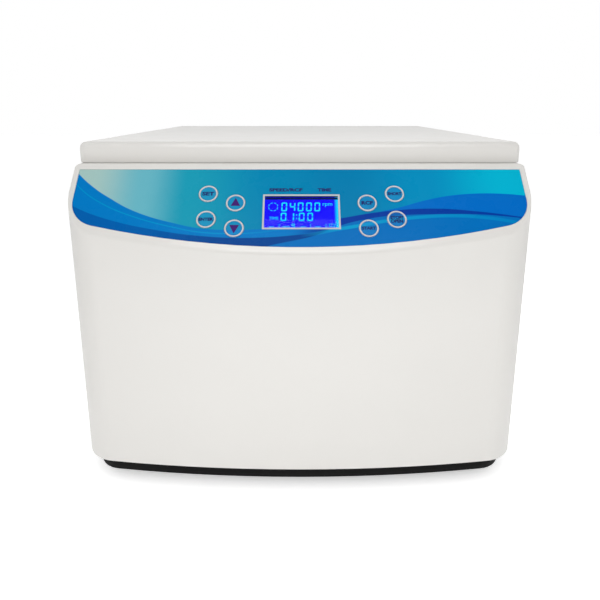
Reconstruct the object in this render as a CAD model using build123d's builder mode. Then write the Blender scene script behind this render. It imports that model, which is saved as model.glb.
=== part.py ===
"""Benchtop laboratory centrifuge: moulded casing, hinged lid, steel chamber, swing-out rotor and drive.

Millimetres. +Z is up, -Y is the front with the keypad. The origin is on the bench surface, under the
middle of the machine's overall box. The lid is closed, the lid lock is released and the buckets hang.
"""

import os
from math import cos, radians, sin, sqrt, tan

from build123d import *

os.makedirs("parts", exist_ok=True)


def save(part, name):
    """Labels one finished piece and writes it as its own STEP file."""
    part.label = name
    export_step(part, f"parts/{name}.step")


# ---------------------------------------------------------------- driving sizes
width = 404.0  # casing, side to side
depth = 520.0  # front bulge to the fan guard at the back
bulge = 16.5  # how far the front bows out past its corners
foot_height = 10.6
tray_reach = 16.4  # how far the black tray shows below the casing
shell_height = 268.0  # casing, bottom edge to deck
lid_height = 18.5
lid_length = 420.0
lid_open = 70.0  # degrees

wall = 3.5  # casing wall
sheet = 2.0  # folded sheet metal
running = 0.05  # radial clearance of a shaft in its bearing
slip = 0.3  # clearance of parts that move past each other
seat_gap = 0.2  # clearance of parts that sit in a recess

# casing outline
front_corner = 34.0  # vertical corner radius, front
rear_corner = 6.0
casing_edge = 5.0  # rounding of the upper edges
guard_stand_out = 5.2  # fan guard, behind the rear panel
tray_inset = 9.0

# levels
tray_bottom = foot_height
tray_floor = tray_bottom + sheet
shell_bottom = tray_bottom + tray_reach
deck_top = shell_bottom + shell_height
deck_under = deck_top - wall
lid_gap = 0.5
lid_bottom = deck_top + lid_gap
lid_top = lid_bottom + lid_height

# plan positions
front_y = -depth / 2
corner_y = front_y + bulge
rear_face = depth / 2 - guard_stand_out  # outer face of the rear panel
casing_rear = rear_face + seat_gap

# sloping control panel
panel_angle = 49.0  # from the horizontal
panel_setback = 41.5  # its top edge, behind the front corners
panel_top_y = corner_y + panel_setback
panel_slope = tan(radians(panel_angle))
panel = Plane(
    origin=(0, panel_top_y, deck_top),
    x_dir=(1, 0, 0),
    z_dir=(0, -sin(radians(panel_angle)), cos(radians(panel_angle))),
)

# chamber and rotor
chamber_y = 14.0
bowl_radius = 150.0
bowl_floor = 160.0
bowl_sheet = 1.2
flange_radius = 166.0
deck_hole = bowl_radius + bowl_sheet + 2.5
chamber_axis = Axis((0, chamber_y, 0), (0, 0, 1))
chamber_section = Plane(origin=(0, chamber_y, 0), x_dir=(1, 0, 0), z_dir=(0, -1, 0))

# lid and its hinge
lid_side_gap = 1.0
lid_front_gap = 9.0
lid_front = panel_top_y + lid_front_gap
lid_back = lid_front + lid_length
hinge_y = lid_back + 10.0
hinge_z = deck_top + 8.0
hinge_x = 120.0


def casing_outline(inset):
    """The casing's plan outline, moved inwards by inset."""
    with BuildSketch() as outline:
        with BuildLine():
            Polyline(
                (width / 2, corner_y),
                (width / 2, casing_rear),
                (-width / 2, casing_rear),
                (-width / 2, corner_y),
            )
            ThreePointArc((-width / 2, corner_y), (0, front_y), (width / 2, corner_y))
        make_face()
        fillet(outline.vertices().filter_by(lambda v: v.Y < 0), front_corner)
        fillet(outline.vertices().filter_by(lambda v: v.Y > 0), rear_corner)
        if inset:
            offset(amount=-inset)
    return outline.sketch


def slope_wedge(setback):
    """The side view of what is cut away in front of the sloping panel, moved back by setback."""
    back = panel_top_y + setback / sin(radians(panel_angle))
    far = front_y - 60
    with BuildSketch() as wedge:
        with BuildLine():
            Polyline(
                (back, deck_top),
                (back + 60, deck_top + 60 * panel_slope),
                (far, deck_top + 60 * panel_slope),
                (far, deck_top - (back - far) * panel_slope),
                close=True,
            )
        make_face()
    return wedge.sketch


# ---------------------------------------------------------------- panel layout, across and down the slope
overlay_side = 7.0  # casing edge to the printed overlay
overlay_top = 6.0
overlay_foot = 5.9  # sharp lower edge of the slope to the overlay, at the middle
overlay_pocket = 1.6
overlay_thick = 0.9
circuit_thick = 0.5
overlay_corner_low = 26.0
overlay_corner_top = 4.0
slope_at_middle = (panel_setback + bulge) / cos(radians(panel_angle))
slope_at_corner = panel_setback / cos(radians(panel_angle))

panel_centre = 1.5  # the display and keys sit this far right of the middle
key_radius = 8.3
key_gap = 0.3
key_stand = 0.35  # raised ring above the slope
key_ring_width = 1.5
key_travel = 0.4
inner_keys, outer_keys = 56.4, 80.5
keys = {
    "key_set": (panel_centre - outer_keys, 31.2),
    "key_enter": (panel_centre - outer_keys, 56.5),
    "key_up": (panel_centre - inner_keys, 40.4),
    "key_down": (panel_centre - inner_keys, 65.0),
    "key_mode": (panel_centre + inner_keys, 40.4),
    "key_start": (panel_centre + inner_keys, 65.0),
    "key_short": (panel_centre + outer_keys, 31.2),
    "key_stop": (panel_centre + outer_keys, 56.5),
}
display_width, display_height = 66.0, 34.0
display_down = 48.9
display_at = (panel_centre, -display_down)


def overlay_outline(grow):
    """The overlay's outline on the slope: straight top and sides, and a foot that follows the bulge."""
    half = width / 2 - overlay_side + grow
    top = -overlay_top + grow
    low_middle = -(slope_at_middle - overlay_foot + grow)
    low_side = -(slope_at_corner - overlay_foot + grow)
    with BuildSketch() as outline:
        with BuildLine():
            Polyline((-half, low_side), (-half, top), (half, top), (half, low_side))
            ThreePointArc((half, low_side), (0, low_middle), (-half, low_side))
        make_face()
        low_points = outline.vertices().group_by(Axis.Y)[0]
        top_points = outline.vertices().group_by(Axis.Y)[-1]
        fillet(low_points, overlay_corner_low + grow)
        fillet(top_points, overlay_corner_top + grow)
    return outline.sketch


# ---------------------------------------------------------------- casing
boss_size = 12.0
boss_top = shell_bottom + 34.0
boss_hole = 1.6
boss_x = width / 2 - tray_inset - sheet - 1.0 - boss_size / 2
boss_spots = [(s * boss_x, y) for s in (-1, 1) for y in (-165.0, 20.0, 205.0)]
tray_wall_top = shell_bottom + 3.0

window_side = 18.0  # rear opening, in from the casing's sides
window_top = deck_top - 22.0
rebate = 8.0  # rear panel's bearing on the rim round the opening
rim_depth = 6.0
panel_half = width / 2 - window_side + rebate
rear_panel_top = window_top + rebate
rear_panel_low = shell_bottom + 1.0
rear_screw_x = panel_half - rebate / 2
rear_screws = [(s * rear_screw_x, z) for s in (-1, 1) for z in (60.0, 150.0, 240.0)]

board_depth = 14.0  # control board, behind the slope
board_thick = 1.6
board_size = (198.0, 60.0)
board_top = display_down - board_size[1] / 2
board_reach = (board_depth + board_thick) * sin(radians(panel_angle)) - board_top * cos(radians(panel_angle))
lock_behind_board = 30.626
striker_y = panel_top_y + board_reach + lock_behind_board
striker_slot = (38.0, 15.0)
board_screw_x = 92.0
board_screw_down = (22.0, 72.0)
board_post = 4.0

with BuildPart() as inside:
    with BuildSketch(Plane.XY.offset(shell_bottom - 1)):
        add(casing_outline(wall))
    extrude(amount=deck_under - shell_bottom + 1)
    with BuildSketch(Plane.YZ.offset(-width)):
        add(slope_wedge(wall))
    extrude(amount=2 * width, mode=Mode.SUBTRACT)

with BuildPart() as housing:
    with BuildSketch(Plane.XY.offset(shell_bottom)):
        add(casing_outline(0))
    extrude(amount=shell_height)
    with BuildSketch(Plane.YZ.offset(-width)):
        add(slope_wedge(0))
    extrude(amount=2 * width, mode=Mode.SUBTRACT)
    slope_face = housing.faces().filter_by(lambda f: f.normal_at().Y < -0.5 and f.normal_at().Z > 0.3)[0]
    deck_edges = housing.edges().group_by(Axis.Z)[-1]
    slope_edges = slope_face.edges()
    fillet(ShapeList(set(deck_edges + slope_edges)), casing_edge)
    add(inside.part, mode=Mode.SUBTRACT)
    # rim round the rear opening, with the rebate that the rear panel sits in
    with BuildSketch(Plane.XZ.offset(-(casing_rear - rim_depth))):
        with Locations((0, (shell_bottom + deck_under) / 2)):
            Rectangle(width - 2 * wall, deck_under - shell_bottom)
    extrude(amount=-(rim_depth - wall))
    with BuildSketch(Plane.XZ.offset(-casing_rear)):
        with Locations((0, (shell_bottom + window_top) / 2)):
            Rectangle(2 * (width / 2 - window_side), window_top - shell_bottom)
    extrude(amount=rim_depth + 1, mode=Mode.SUBTRACT)
    with BuildSketch(Plane.XZ.offset(-casing_rear)):
        with Locations((0, (shell_bottom + rear_panel_top) / 2)):
            Rectangle(2 * (panel_half + seat_gap), rear_panel_top - shell_bottom + 2 * seat_gap)
    extrude(amount=sheet + seat_gap, mode=Mode.SUBTRACT)
    with Locations(*[Location((x, casing_rear, z), (-90, 0, 0)) for x, z in rear_screws]):
        Hole(boss_hole, depth=rim_depth + 1)
    # posts that stand on the tray, each tied to the side wall by a web
    for x, y in boss_spots:
        side = 1 if x > 0 else -1
        web_in, web_out = abs(x) - boss_size / 2, width / 2 - wall / 2
        with BuildSketch(Plane.XY.offset(tray_floor)):
            with Locations((x, y)):
                Rectangle(boss_size, boss_size)
        extrude(amount=boss_top - tray_floor)
        with BuildSketch(Plane.XY.offset(tray_wall_top + 1)):
            with Locations((side * (web_in + web_out) / 2, y)):
                Rectangle(web_out - web_in, boss_size)
        extrude(amount=boss_top - tray_wall_top - 1)
        with Locations(Location((x, y, tray_floor), (180, 0, 0))):
            Hole(boss_hole, depth=14)
    # deck openings for the chamber and the lid striker
    with Locations((0, chamber_y, deck_top + 1)):
        Hole(deck_hole, depth=wall + 2)
    with BuildSketch(Plane.XY.offset(deck_top)):
        with Locations((0, striker_y)):
            RectangleRounded(*striker_slot, 4)
    extrude(amount=-wall, mode=Mode.SUBTRACT)
    # control panel: overlay pocket, display window, keypad tail slot and posts for the control board
    with BuildSketch(panel):
        add(overlay_outline(seat_gap))
    extrude(amount=-overlay_pocket, mode=Mode.SUBTRACT)
    with BuildSketch(panel):
        with Locations(display_at):
            Rectangle(display_width + 1, display_height + 1)
        with Locations((panel_centre + 110, -display_down)):
            SlotOverall(24, 5, rotation=90)
    extrude(amount=-2 * wall, mode=Mode.SUBTRACT)
    with BuildSketch(panel.offset(-wall + 0.5)):
        with Locations(*[(panel_centre + s * board_screw_x, -d) for s in (-1, 1) for d in board_screw_down]):
            Circle(board_post)
    extrude(amount=-(board_depth - wall + 0.5))
save(housing.part, "housing")

# ---------------------------------------------------------------- rear panel
fan_x, fan_z = -112.0, 122.0
fan_size, fan_thick, fan_duct = 80.0, 25.4, 38.0
fan_pitch = 71.5
guard_eye = 3.0  # thickness of the fan guard's eyes
inlet_x, inlet_z = 112.0, 94.0
inlet_body = (28.0, 58.0)
inlet_depth = 30.0
rear_inner = rear_face - sheet
vent_slot = (46.0, 4.0)
vent_rows, vent_pitch = 9, 10.0

with BuildPart() as rear_panel:
    with BuildSketch(Plane.XZ.offset(-rear_face)) as sheet_face:
        with Locations((0, (rear_panel_low + rear_panel_top) / 2)):
            RectangleRounded(2 * panel_half, rear_panel_top - rear_panel_low, 4)
        with Locations((fan_x, fan_z)):
            Circle(fan_duct, mode=Mode.SUBTRACT)
            with GridLocations(fan_pitch, fan_pitch, 2, 2):
                Circle(boss_hole, mode=Mode.SUBTRACT)
        with Locations((inlet_x, inlet_z)):
            Rectangle(inlet_body[0] + seat_gap, inlet_body[1] + seat_gap, mode=Mode.SUBTRACT)
        with Locations(*rear_screws):
            Circle(boss_hole, mode=Mode.SUBTRACT)
        for x in (-112.0, 0.0, 112.0):
            with Locations((x, 222.0)):
                with GridLocations(0, vent_pitch, 1, 5):
                    SlotOverall(*vent_slot, mode=Mode.SUBTRACT)
    extrude(amount=sheet)
save(rear_panel.part, "rear_panel")

# ---------------------------------------------------------------- base tray and feet
foot_radius = 18.0
foot_spots = [(s * 150.0, y) for s in (-1, 1) for y in (-190.0, 205.0)]
foot_screw_y = 4.0
with BuildPart() as base_tray:
    with BuildSketch(Plane.XY.offset(tray_bottom)):
        add(casing_outline(tray_inset))
    extrude(amount=tray_wall_top - tray_bottom)
    fillet(base_tray.edges().group_by(Axis.Z)[0], 3)
    with BuildSketch(Plane.XY.offset(tray_floor)):
        add(casing_outline(tray_inset + sheet))
    extrude(amount=tray_wall_top, mode=Mode.SUBTRACT)
    with Locations(*[(x, y, tray_floor) for x, y in boss_spots + foot_spots]):
        Hole(boss_hole, depth=sheet + 1)
    with BuildSketch(Plane.XY.offset(tray_floor)):
        for x in (-95.0, 95.0):
            with Locations((x, chamber_y)):
                with GridLocations(0, vent_pitch, 1, vent_rows):
                    SlotOverall(*vent_slot)
    extrude(amount=-2 * sheet, mode=Mode.SUBTRACT)
save(base_tray.part, "base_tray")

foot_recess = 5.0
with BuildPart() as rubber_feet:
    for x, y in foot_spots:
        with BuildSketch(Plane.XY) as sole:
            with Locations((x, y)):
                Circle(foot_radius - 2)
        with BuildSketch(Plane.XY.offset(foot_height)):
            with Locations((x, y)):
                Circle(foot_radius)
        loft()
        with Locations(Location((x, y, 0), (180, 0, 0))):
            CounterBoreHole(boss_hole + 0.4, 5.0, foot_recess, depth=foot_height)
save(rubber_feet.part, "rubber_feet")


# ---------------------------------------------------------------- screws, all of one size
screw_shank = boss_hole - 0.1
screw_head = 3.4
screw_head_height = 2.0
cross_slot = (4.0, 0.9)


def screw(length):
    """A pan-head screw standing on its head's seat at the origin, shank down, with a cross recess."""
    with BuildPart() as made:
        Cylinder(screw_shank, length, align=(Align.CENTER, Align.CENTER, Align.MAX))
        Cylinder(screw_head, screw_head_height, align=(Align.CENTER, Align.CENTER, Align.MIN))
        fillet(made.edges().group_by(Axis.Z)[-1], 0.9)
        with BuildSketch(Plane.XY.offset(screw_head_height)):
            Rectangle(*cross_slot)
            Rectangle(*cross_slot[::-1])
        extrude(amount=-1.1, mode=Mode.SUBTRACT)
    return made.part


rear_screw = screw(6.5)
tray_screw = screw(12.0)
foot_screw = screw(foot_height - foot_recess + sheet)
fan_screw = screw(14.0)
with BuildPart() as case_screws:
    for x, z in rear_screws:
        add(rear_screw.moved(Location((x, rear_face, z), (-90, 0, 0))))
    for x, y in boss_spots:
        add(tray_screw.moved(Location((x, y, tray_bottom), (180, 0, 0))))
    for x, y in foot_spots:
        add(foot_screw.moved(Location((x, y, foot_recess), (180, 0, 0))))
    for x in (-fan_pitch / 2, fan_pitch / 2):
        for z in (-fan_pitch / 2, fan_pitch / 2):
            add(fan_screw.moved(Location((fan_x + x, rear_face + guard_eye, fan_z + z), (-90, 0, 0))))
save(case_screws.part, "case_screws")

# ---------------------------------------------------------------- keypad and display
overlay_back = -overlay_pocket + circuit_thick
overlay_front = overlay_back + overlay_thick
with BuildPart() as control_overlay:
    with BuildSketch(panel.offset(overlay_back)):
        add(overlay_outline(0))
    extrude(amount=overlay_thick)
    with BuildSketch(panel.offset(overlay_front)):
        with Locations(*[(x, -d) for x, d in keys.values()]):
            Circle(key_radius + key_gap)
        with Locations(display_at):
            Rectangle(display_width, display_height)
    extrude(amount=-overlay_thick, mode=Mode.SUBTRACT)
save(control_overlay.part, "control_overlay")

with BuildPart() as membrane_circuit:
    with BuildSketch(panel.offset(-overlay_pocket)):
        add(overlay_outline(-2))
    extrude(amount=circuit_thick)
    with BuildSketch(panel.offset(-overlay_pocket + circuit_thick)):
        with Locations(display_at):
            Rectangle(display_width + 1, display_height + 1)
    extrude(amount=-circuit_thick, mode=Mode.SUBTRACT)
save(membrane_circuit.part, "membrane_circuit")

key_thick = overlay_front - overlay_back - key_travel - 0.05
for name, (x, down) in keys.items():
    with BuildPart() as key:
        with BuildSketch(panel.offset(overlay_front)):
            with Locations((x, -down)):
                Circle(key_radius)
        extrude(amount=-key_thick)
        with BuildSketch(panel.offset(overlay_front)):
            with Locations((x, -down)):
                Circle(key_radius)
                Circle(key_radius - key_ring_width, mode=Mode.SUBTRACT)
        extrude(amount=key_stand)
    save(key.part, name)

with BuildPart() as display_window:
    with BuildSketch(panel.offset(overlay_front)):
        with Locations(display_at):
            Rectangle(display_width - seat_gap, display_height - seat_gap)
    extrude(amount=-overlay_thick)
save(display_window.part, "display_window")

module_front = wall + 1.0
glass_thick = 2.4
with BuildPart() as display_module:
    with BuildSketch(panel.offset(-module_front)):
        with Locations(display_at):
            RectangleRounded(display_width + 6, display_height + 8, 1)
    extrude(amount=-(board_depth - module_front))
    with BuildSketch(panel.offset(-module_front)):
        with Locations(display_at):
            Rectangle(display_width - 2, display_height - 2)
    extrude(amount=glass_thick)
save(display_module.part, "display_module")

with BuildPart() as control_board:
    with BuildSketch(panel.offset(-board_depth)):
        with Locations(display_at):
            RectangleRounded(*board_size, 2)
    extrude(amount=-board_thick)
    with BuildSketch(panel.offset(-board_depth - board_thick)):
        with Locations((panel_centre - 60, -display_down), (panel_centre + 60, -display_down)):
            Rectangle(18, 18)
        with Locations((panel_centre + 88, -display_down)):
            Rectangle(6, 26)
    extrude(amount=-3)
save(control_board.part, "control_board")

# ---------------------------------------------------------------- chamber
bowl_corner = 20.0
boot_hole = 24.0
flange_top = deck_top + bowl_sheet
with BuildPart() as chamber_bowl:
    with BuildSketch(chamber_section):
        with BuildLine():
            outer = bowl_radius + bowl_sheet
            low = bowl_floor - bowl_sheet
            Polyline(
                (bowl_radius, bowl_floor + bowl_corner),
                (bowl_radius, flange_top),
                (flange_radius, flange_top),
                (flange_radius, deck_top),
                (outer, deck_top),
                (outer, bowl_floor + bowl_corner),
            )
            corner = (bowl_radius - bowl_corner, bowl_floor + bowl_corner)
            CenterArc(corner, bowl_corner + bowl_sheet, 0, -90)
            Polyline((corner[0], low), (boot_hole, low), (boot_hole, bowl_floor), (corner[0], bowl_floor))
            CenterArc(corner, bowl_corner, 0, -90)
        make_face()
    revolve(axis=chamber_axis)
save(chamber_bowl.part, "chamber_bowl")

liner_under = lid_bottom + 5.0
seal_in, seal_out = 155.0, 164.0
with BuildPart() as chamber_seal:
    with BuildSketch(chamber_section) as seal_section:
        with Locations(((seal_in + seal_out) / 2, (flange_top + liner_under - slip) / 2)):
            Rectangle(seal_out - seal_in, liner_under - slip - flange_top)
        fillet(seal_section.vertices().group_by(Axis.Y)[-1], 1.6)
    revolve(axis=chamber_axis)
save(chamber_seal.part, "chamber_seal")

plate_top = bowl_floor - bowl_sheet - 3.8
plate_thick = 3.0
guard_in, guard_thick = 156.0, 4.0
with BuildPart() as guard_ring:
    with BuildSketch(Plane.XY.offset(plate_top)):
        with Locations((0, chamber_y)):
            Circle(guard_in + guard_thick)
            Circle(guard_in, mode=Mode.SUBTRACT)
    extrude(amount=deck_under - 9 - plate_top)
save(guard_ring.part, "guard_ring")

with BuildPart() as bowl_pad:
    with BuildSketch(Plane.XY.offset(plate_top)):
        with Locations((0, chamber_y)):
            Circle(bowl_radius - bowl_corner)
            Circle(80, mode=Mode.SUBTRACT)
    extrude(amount=bowl_floor - bowl_sheet - plate_top)
save(bowl_pad.part, "bowl_pad")

frame_half = 168.0
post_spot = 150.0
post_size = 18.0
motor_clear = 58.0
with BuildPart() as chamber_frame:
    with BuildSketch(Plane.XY.offset(plate_top)):
        with Locations((0, chamber_y)):
            RectangleRounded(2 * frame_half, 2 * frame_half, 12)
            Circle(motor_clear, mode=Mode.SUBTRACT)
    extrude(amount=-plate_thick)
    with BuildSketch(Plane.XY.offset(tray_floor)):
        with Locations((0, chamber_y)):
            with GridLocations(2 * post_spot, 2 * post_spot, 2, 2):
                Rectangle(post_size, post_size)
                Rectangle(post_size - 3, post_size - 3, mode=Mode.SUBTRACT)
    extrude(amount=plate_top - plate_thick - tray_floor)
save(chamber_frame.part, "chamber_frame")

# ---------------------------------------------------------------- motor, hung on rubber dampers
damper_height = 30.0
motor_plate_thick = 6.0
motor_plate_low = tray_floor + damper_height
motor_low = motor_plate_low + motor_plate_thick
motor_radius, motor_height, motor_wall = 55.0, 90.0, 3.0
motor_top = motor_low + motor_height
nose_radius, nose_height = 20.0, 10.0
bearing_out, bearing_wide = 16.0, 10.0
shaft_radius = 7.0
damper_circle = 78.0
stator_in, stator_low, stator_high = 34.0, motor_low + 22, motor_low + 72

with BuildPart() as vibration_dampers:
    with BuildSketch(Plane.XY.offset(tray_floor)):
        with Locations((0, chamber_y)):
            with PolarLocations(damper_circle, 3, start_angle=90):
                Circle(13)
    extrude(amount=damper_height)
    with BuildSketch(Plane.XY.offset(tray_floor + damper_height / 2 - 5)):
        with Locations((0, chamber_y)):
            with PolarLocations(damper_circle, 3, start_angle=90):
                Circle(14)
                Circle(10.5, mode=Mode.SUBTRACT)
    extrude(amount=10, mode=Mode.SUBTRACT)
save(vibration_dampers.part, "vibration_dampers")

with BuildPart() as motor_plate:
    with BuildSketch(Plane.XY.offset(motor_plate_low)) as plate_face:
        with Locations((0, chamber_y)):
            Circle(70)
            with PolarLocations(damper_circle, 3, start_angle=90):
                Circle(18)
    extrude(amount=motor_plate_thick)
save(motor_plate.part, "motor_plate")

with BuildPart() as motor_can:
    with BuildSketch(chamber_section):
        with BuildLine():
            inner = motor_radius - motor_wall
            Polyline(
                (0, motor_low),
                (motor_radius, motor_low),
                (motor_radius, motor_top),
                (nose_radius, motor_top),
                (nose_radius, motor_top + nose_height),
                (shaft_radius + 1, motor_top + nose_height),
                (shaft_radius + 1, motor_top + nose_height - 3),
                (bearing_out, motor_top + nose_height - 3),
                (bearing_out, motor_top - motor_wall),
                (inner, motor_top - motor_wall),
                (inner, motor_low + 14),
                (bearing_out, motor_low + 14),
                (bearing_out, motor_low + 4),
                (0, motor_low + 4),
                close=True,
            )
        make_face()
    revolve(axis=chamber_axis)
    fillet(motor_can.edges().filter_by(GeomType.CIRCLE).filter_by(lambda e: abs(e.radius - motor_radius) < 0.01), 2)
save(motor_can.part, "motor_can")

bearing_low = [motor_low + 4, motor_top + nose_height - 3 - bearing_wide]
with BuildPart() as motor_bearings:
    for z in bearing_low:
        with BuildSketch(Plane.XY.offset(z)):
            with Locations((0, chamber_y)):
                Circle(bearing_out - running)
                Circle(shaft_radius + running, mode=Mode.SUBTRACT)
        extrude(amount=bearing_wide)
save(motor_bearings.part, "motor_bearings")

with BuildPart() as motor_stator:
    with BuildSketch(Plane.XY.offset(stator_low)):
        with Locations((0, chamber_y)):
            Circle(motor_radius - motor_wall - seat_gap)
            Circle(stator_in, mode=Mode.SUBTRACT)
    extrude(amount=stator_high - stator_low)
    with BuildSketch(Plane.XY.offset(stator_low - 7)):
        with Locations((0, chamber_y)):
            Circle(motor_radius - motor_wall - 4)
            Circle(stator_in + 2, mode=Mode.SUBTRACT)
    extrude(amount=stator_high - stator_low + 14)
save(motor_stator.part, "motor_stator")

boot_low = motor_top + 4
with BuildPart() as shaft_boot:
    with BuildSketch(chamber_section):
        with BuildLine():
            Polyline(
                (nose_radius + seat_gap, boot_low),
                (boot_hole - 1, boot_low),
                (boot_hole - 1, bowl_floor),
                (boot_hole + 5, bowl_floor),
                (boot_hole + 5, bowl_floor + 2),
                (shaft_radius + 2, bowl_floor + 4),
                (shaft_radius + 2, bowl_floor + 2),
                (nose_radius + seat_gap, bowl_floor - 1),
                close=True,
            )
        make_face()
    revolve(axis=chamber_axis)
save(shaft_boot.part, "shaft_boot")

# ---------------------------------------------------------------- rotor: shaft, yoke, nut and four buckets
pivot_z = bowl_floor + 80.0
pivot_r = 74.0
yoke_low, yoke_high = pivot_z - 14, pivot_z + 12
hub_radius, hub_low = 20.0, pivot_z - 34
bar_in, bar_thick = 27.0, 6.0
bar_end = pivot_r + 12
pin_radius = 4.0
pin_tip = 24.4
nut_height = 18.0
with BuildPart() as motor_shaft:
    with BuildSketch(chamber_section):
        with BuildLine():
            Polyline(
                (0, motor_low + 4.5),
                (shaft_radius, motor_low + 4.5),
                (shaft_radius, yoke_high - 8),
                (5, yoke_high - 8),
                (5, yoke_high + nut_height - 6),
                (0, yoke_high + nut_height - 6),
                close=True,
            )
        make_face()
    revolve(axis=chamber_axis)
    with BuildSketch(Plane.XY.offset(hub_low)):
        with Locations((0, chamber_y)):
            Circle(shaft_radius + 4)
            Circle(shaft_radius - 1, mode=Mode.SUBTRACT)
    extrude(amount=-4)
save(motor_shaft.part, "motor_shaft")

with BuildPart() as motor_rotor:
    with BuildSketch(Plane.XY.offset(stator_low + 2)):
        with Locations((0, chamber_y)):
            Circle(stator_in - 0.6)
            Circle(shaft_radius + running, mode=Mode.SUBTRACT)
    extrude(amount=stator_high - stator_low - 4)
save(motor_rotor.part, "motor_rotor")

with BuildPart() as rotor_yoke:
    with BuildSketch(Plane.XY.offset(hub_low)):
        with Locations((0, chamber_y)):
            Circle(hub_radius)
    extrude(amount=yoke_high - hub_low)
    with BuildSketch(Plane.XY.offset(yoke_low)):
        with Locations((0, chamber_y)):
            with GridLocations(0, 2 * bar_in + bar_thick, 1, 2):
                Rectangle(2 * bar_end, bar_thick)
            with GridLocations(2 * bar_in + bar_thick, 0, 2, 1):
                Rectangle(bar_thick, 2 * bar_end)
    extrude(amount=yoke_high - yoke_low)
    fillet(rotor_yoke.edges().filter_by(Axis.Z).filter_by(lambda e: e.length < 27 and abs(e.center().X) > 26), 1.5)
    with BuildSketch(Plane.XY.offset(yoke_low)):
        with Locations((0, chamber_y)):
            Rectangle(2 * bar_in + 1, 2 * bar_in + 1)
    extrude(amount=8)
    with Locations((0, chamber_y, pivot_z)):
        with PolarLocations(0, 4):
            with Locations(*[Location((pivot_r, s * (bar_in + 1), 0), (s * 90, 0, 0)) for s in (-1, 1)]):
                Cylinder(pin_radius, bar_in + 1 - pin_tip, align=(Align.CENTER, Align.CENTER, Align.MIN))
    with Locations((0, chamber_y, yoke_high)):
        Hole(shaft_radius + running, depth=yoke_high - hub_low)
save(rotor_yoke.part, "rotor_yoke")

with BuildPart() as rotor_nut:
    with BuildSketch(Plane.XY.offset(yoke_high)):
        with Locations((0, chamber_y)):
            Circle(13)
            with PolarLocations(13.6, 12):
                Circle(1.6, mode=Mode.SUBTRACT)
    extrude(amount=nut_height)
    chamfer(rotor_nut.edges().group_by(Axis.Z)[-1], 0.8)
    with Locations((0, chamber_y, yoke_high)):
        Cylinder(16, 3, align=(Align.CENTER, Align.CENTER, Align.MIN))
    with Locations(Location((0, chamber_y, yoke_high), (180, 0, 0))):
        Hole(5 + running, depth=nut_height - 5)
save(rotor_nut.part, "rotor_nut")

bucket_radius, bucket_bore = 24.0, 21.0
bucket_low, bucket_high = pivot_z - 62, pivot_z + 14
lug_out, lug_half, lug_rise = 26.4, 9.0, 12.0


def swing_bucket(angle):
    """A round bucket that hangs on two yoke pins by open-bottomed lugs, turned to its place."""
    spot = Location((0, chamber_y, 0), (0, 0, angle)) * Location((pivot_r, 0, 0))
    with BuildPart() as made:
        with BuildSketch(Plane.XY.offset(bucket_low)):
            Circle(bucket_radius)
        extrude(amount=bucket_high - bucket_low)
        fillet(made.edges().group_by(Axis.Z)[0], 7)
        with BuildSketch(Plane.XY.offset(pivot_z - lug_rise)):
            Rectangle(2 * lug_half, 2 * lug_out)
        extrude(amount=2 * lug_rise)
        with BuildSketch(Plane.XY.offset(bucket_high)):
            Circle(bucket_radius + 1)
        extrude(amount=-3)
        with Locations((0, 0, bucket_high)):
            Hole(bucket_bore, depth=bucket_high - bucket_low - 3)
        groove = pin_radius + 0.1
        for side in (-1, 1):
            with BuildSketch(Plane.XZ.offset(-side * (pin_tip - slip))):
                with Locations((0, pivot_z)):
                    Circle(groove)
                with Locations((0, pivot_z - lug_rise)):
                    Rectangle(2 * groove, 2 * lug_rise)
            extrude(amount=-side * lug_out, mode=Mode.SUBTRACT)
    return made.part.moved(spot)


for number in range(4):
    save(swing_bucket(90 * number), f"bucket_{number + 1}")

# ---------------------------------------------------------------- lid
lid_width = width - 2 * lid_side_gap
lid_wall = 3.0
lid_middle = (lid_front + lid_back) / 2
liner_thick, stiffener_thick = 2.5, 2.0
lid_corner = 7.0


def lid_outline(inset):
    """The lid's plan outline, moved inwards by inset."""
    with BuildSketch() as outline:
        with Locations((0, lid_middle)):
            RectangleRounded(lid_width - 2 * inset, lid_length - 2 * inset, max(lid_corner - inset, 1))
    return outline.sketch


lid_screws_at = [(x, lid_middle + y) for x in (-185.0, 185.0) for y in (-150.0, 0.0, 185.0)]
with BuildPart() as lid_cover:
    with BuildSketch(Plane.XY.offset(lid_bottom)):
        add(lid_outline(0))
    extrude(amount=lid_height)
    fillet(lid_cover.edges().group_by(Axis.Z)[-1], 6)
    with BuildSketch(Plane.XY.offset(lid_bottom)):
        add(lid_outline(lid_wall))
    extrude(amount=lid_height - lid_wall, mode=Mode.SUBTRACT)
save(lid_cover.part, "lid_cover")

with BuildPart() as lid_liner:
    with BuildSketch(Plane.XY.offset(liner_under)):
        add(lid_outline(lid_wall + seat_gap))
        with Locations(*lid_screws_at):
            Circle(boss_hole, mode=Mode.SUBTRACT)
    extrude(amount=liner_thick)
save(lid_liner.part, "lid_liner")

with BuildPart() as lid_stiffener:
    with BuildSketch(Plane.XY.offset(liner_under + liner_thick)):
        add(lid_outline(lid_wall + 3))
        with Locations(*lid_screws_at):
            Circle(boss_hole, mode=Mode.SUBTRACT)
    extrude(amount=stiffener_thick)
save(lid_stiffener.part, "lid_stiffener")

lid_screw = screw(liner_thick + stiffener_thick - 0.2)
with BuildPart() as lid_screws:
    for x, y in lid_screws_at:
        add(lid_screw.moved(Location((x, y, liner_under), (180, 0, 0))))
save(lid_screws.part, "lid_screws")

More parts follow.
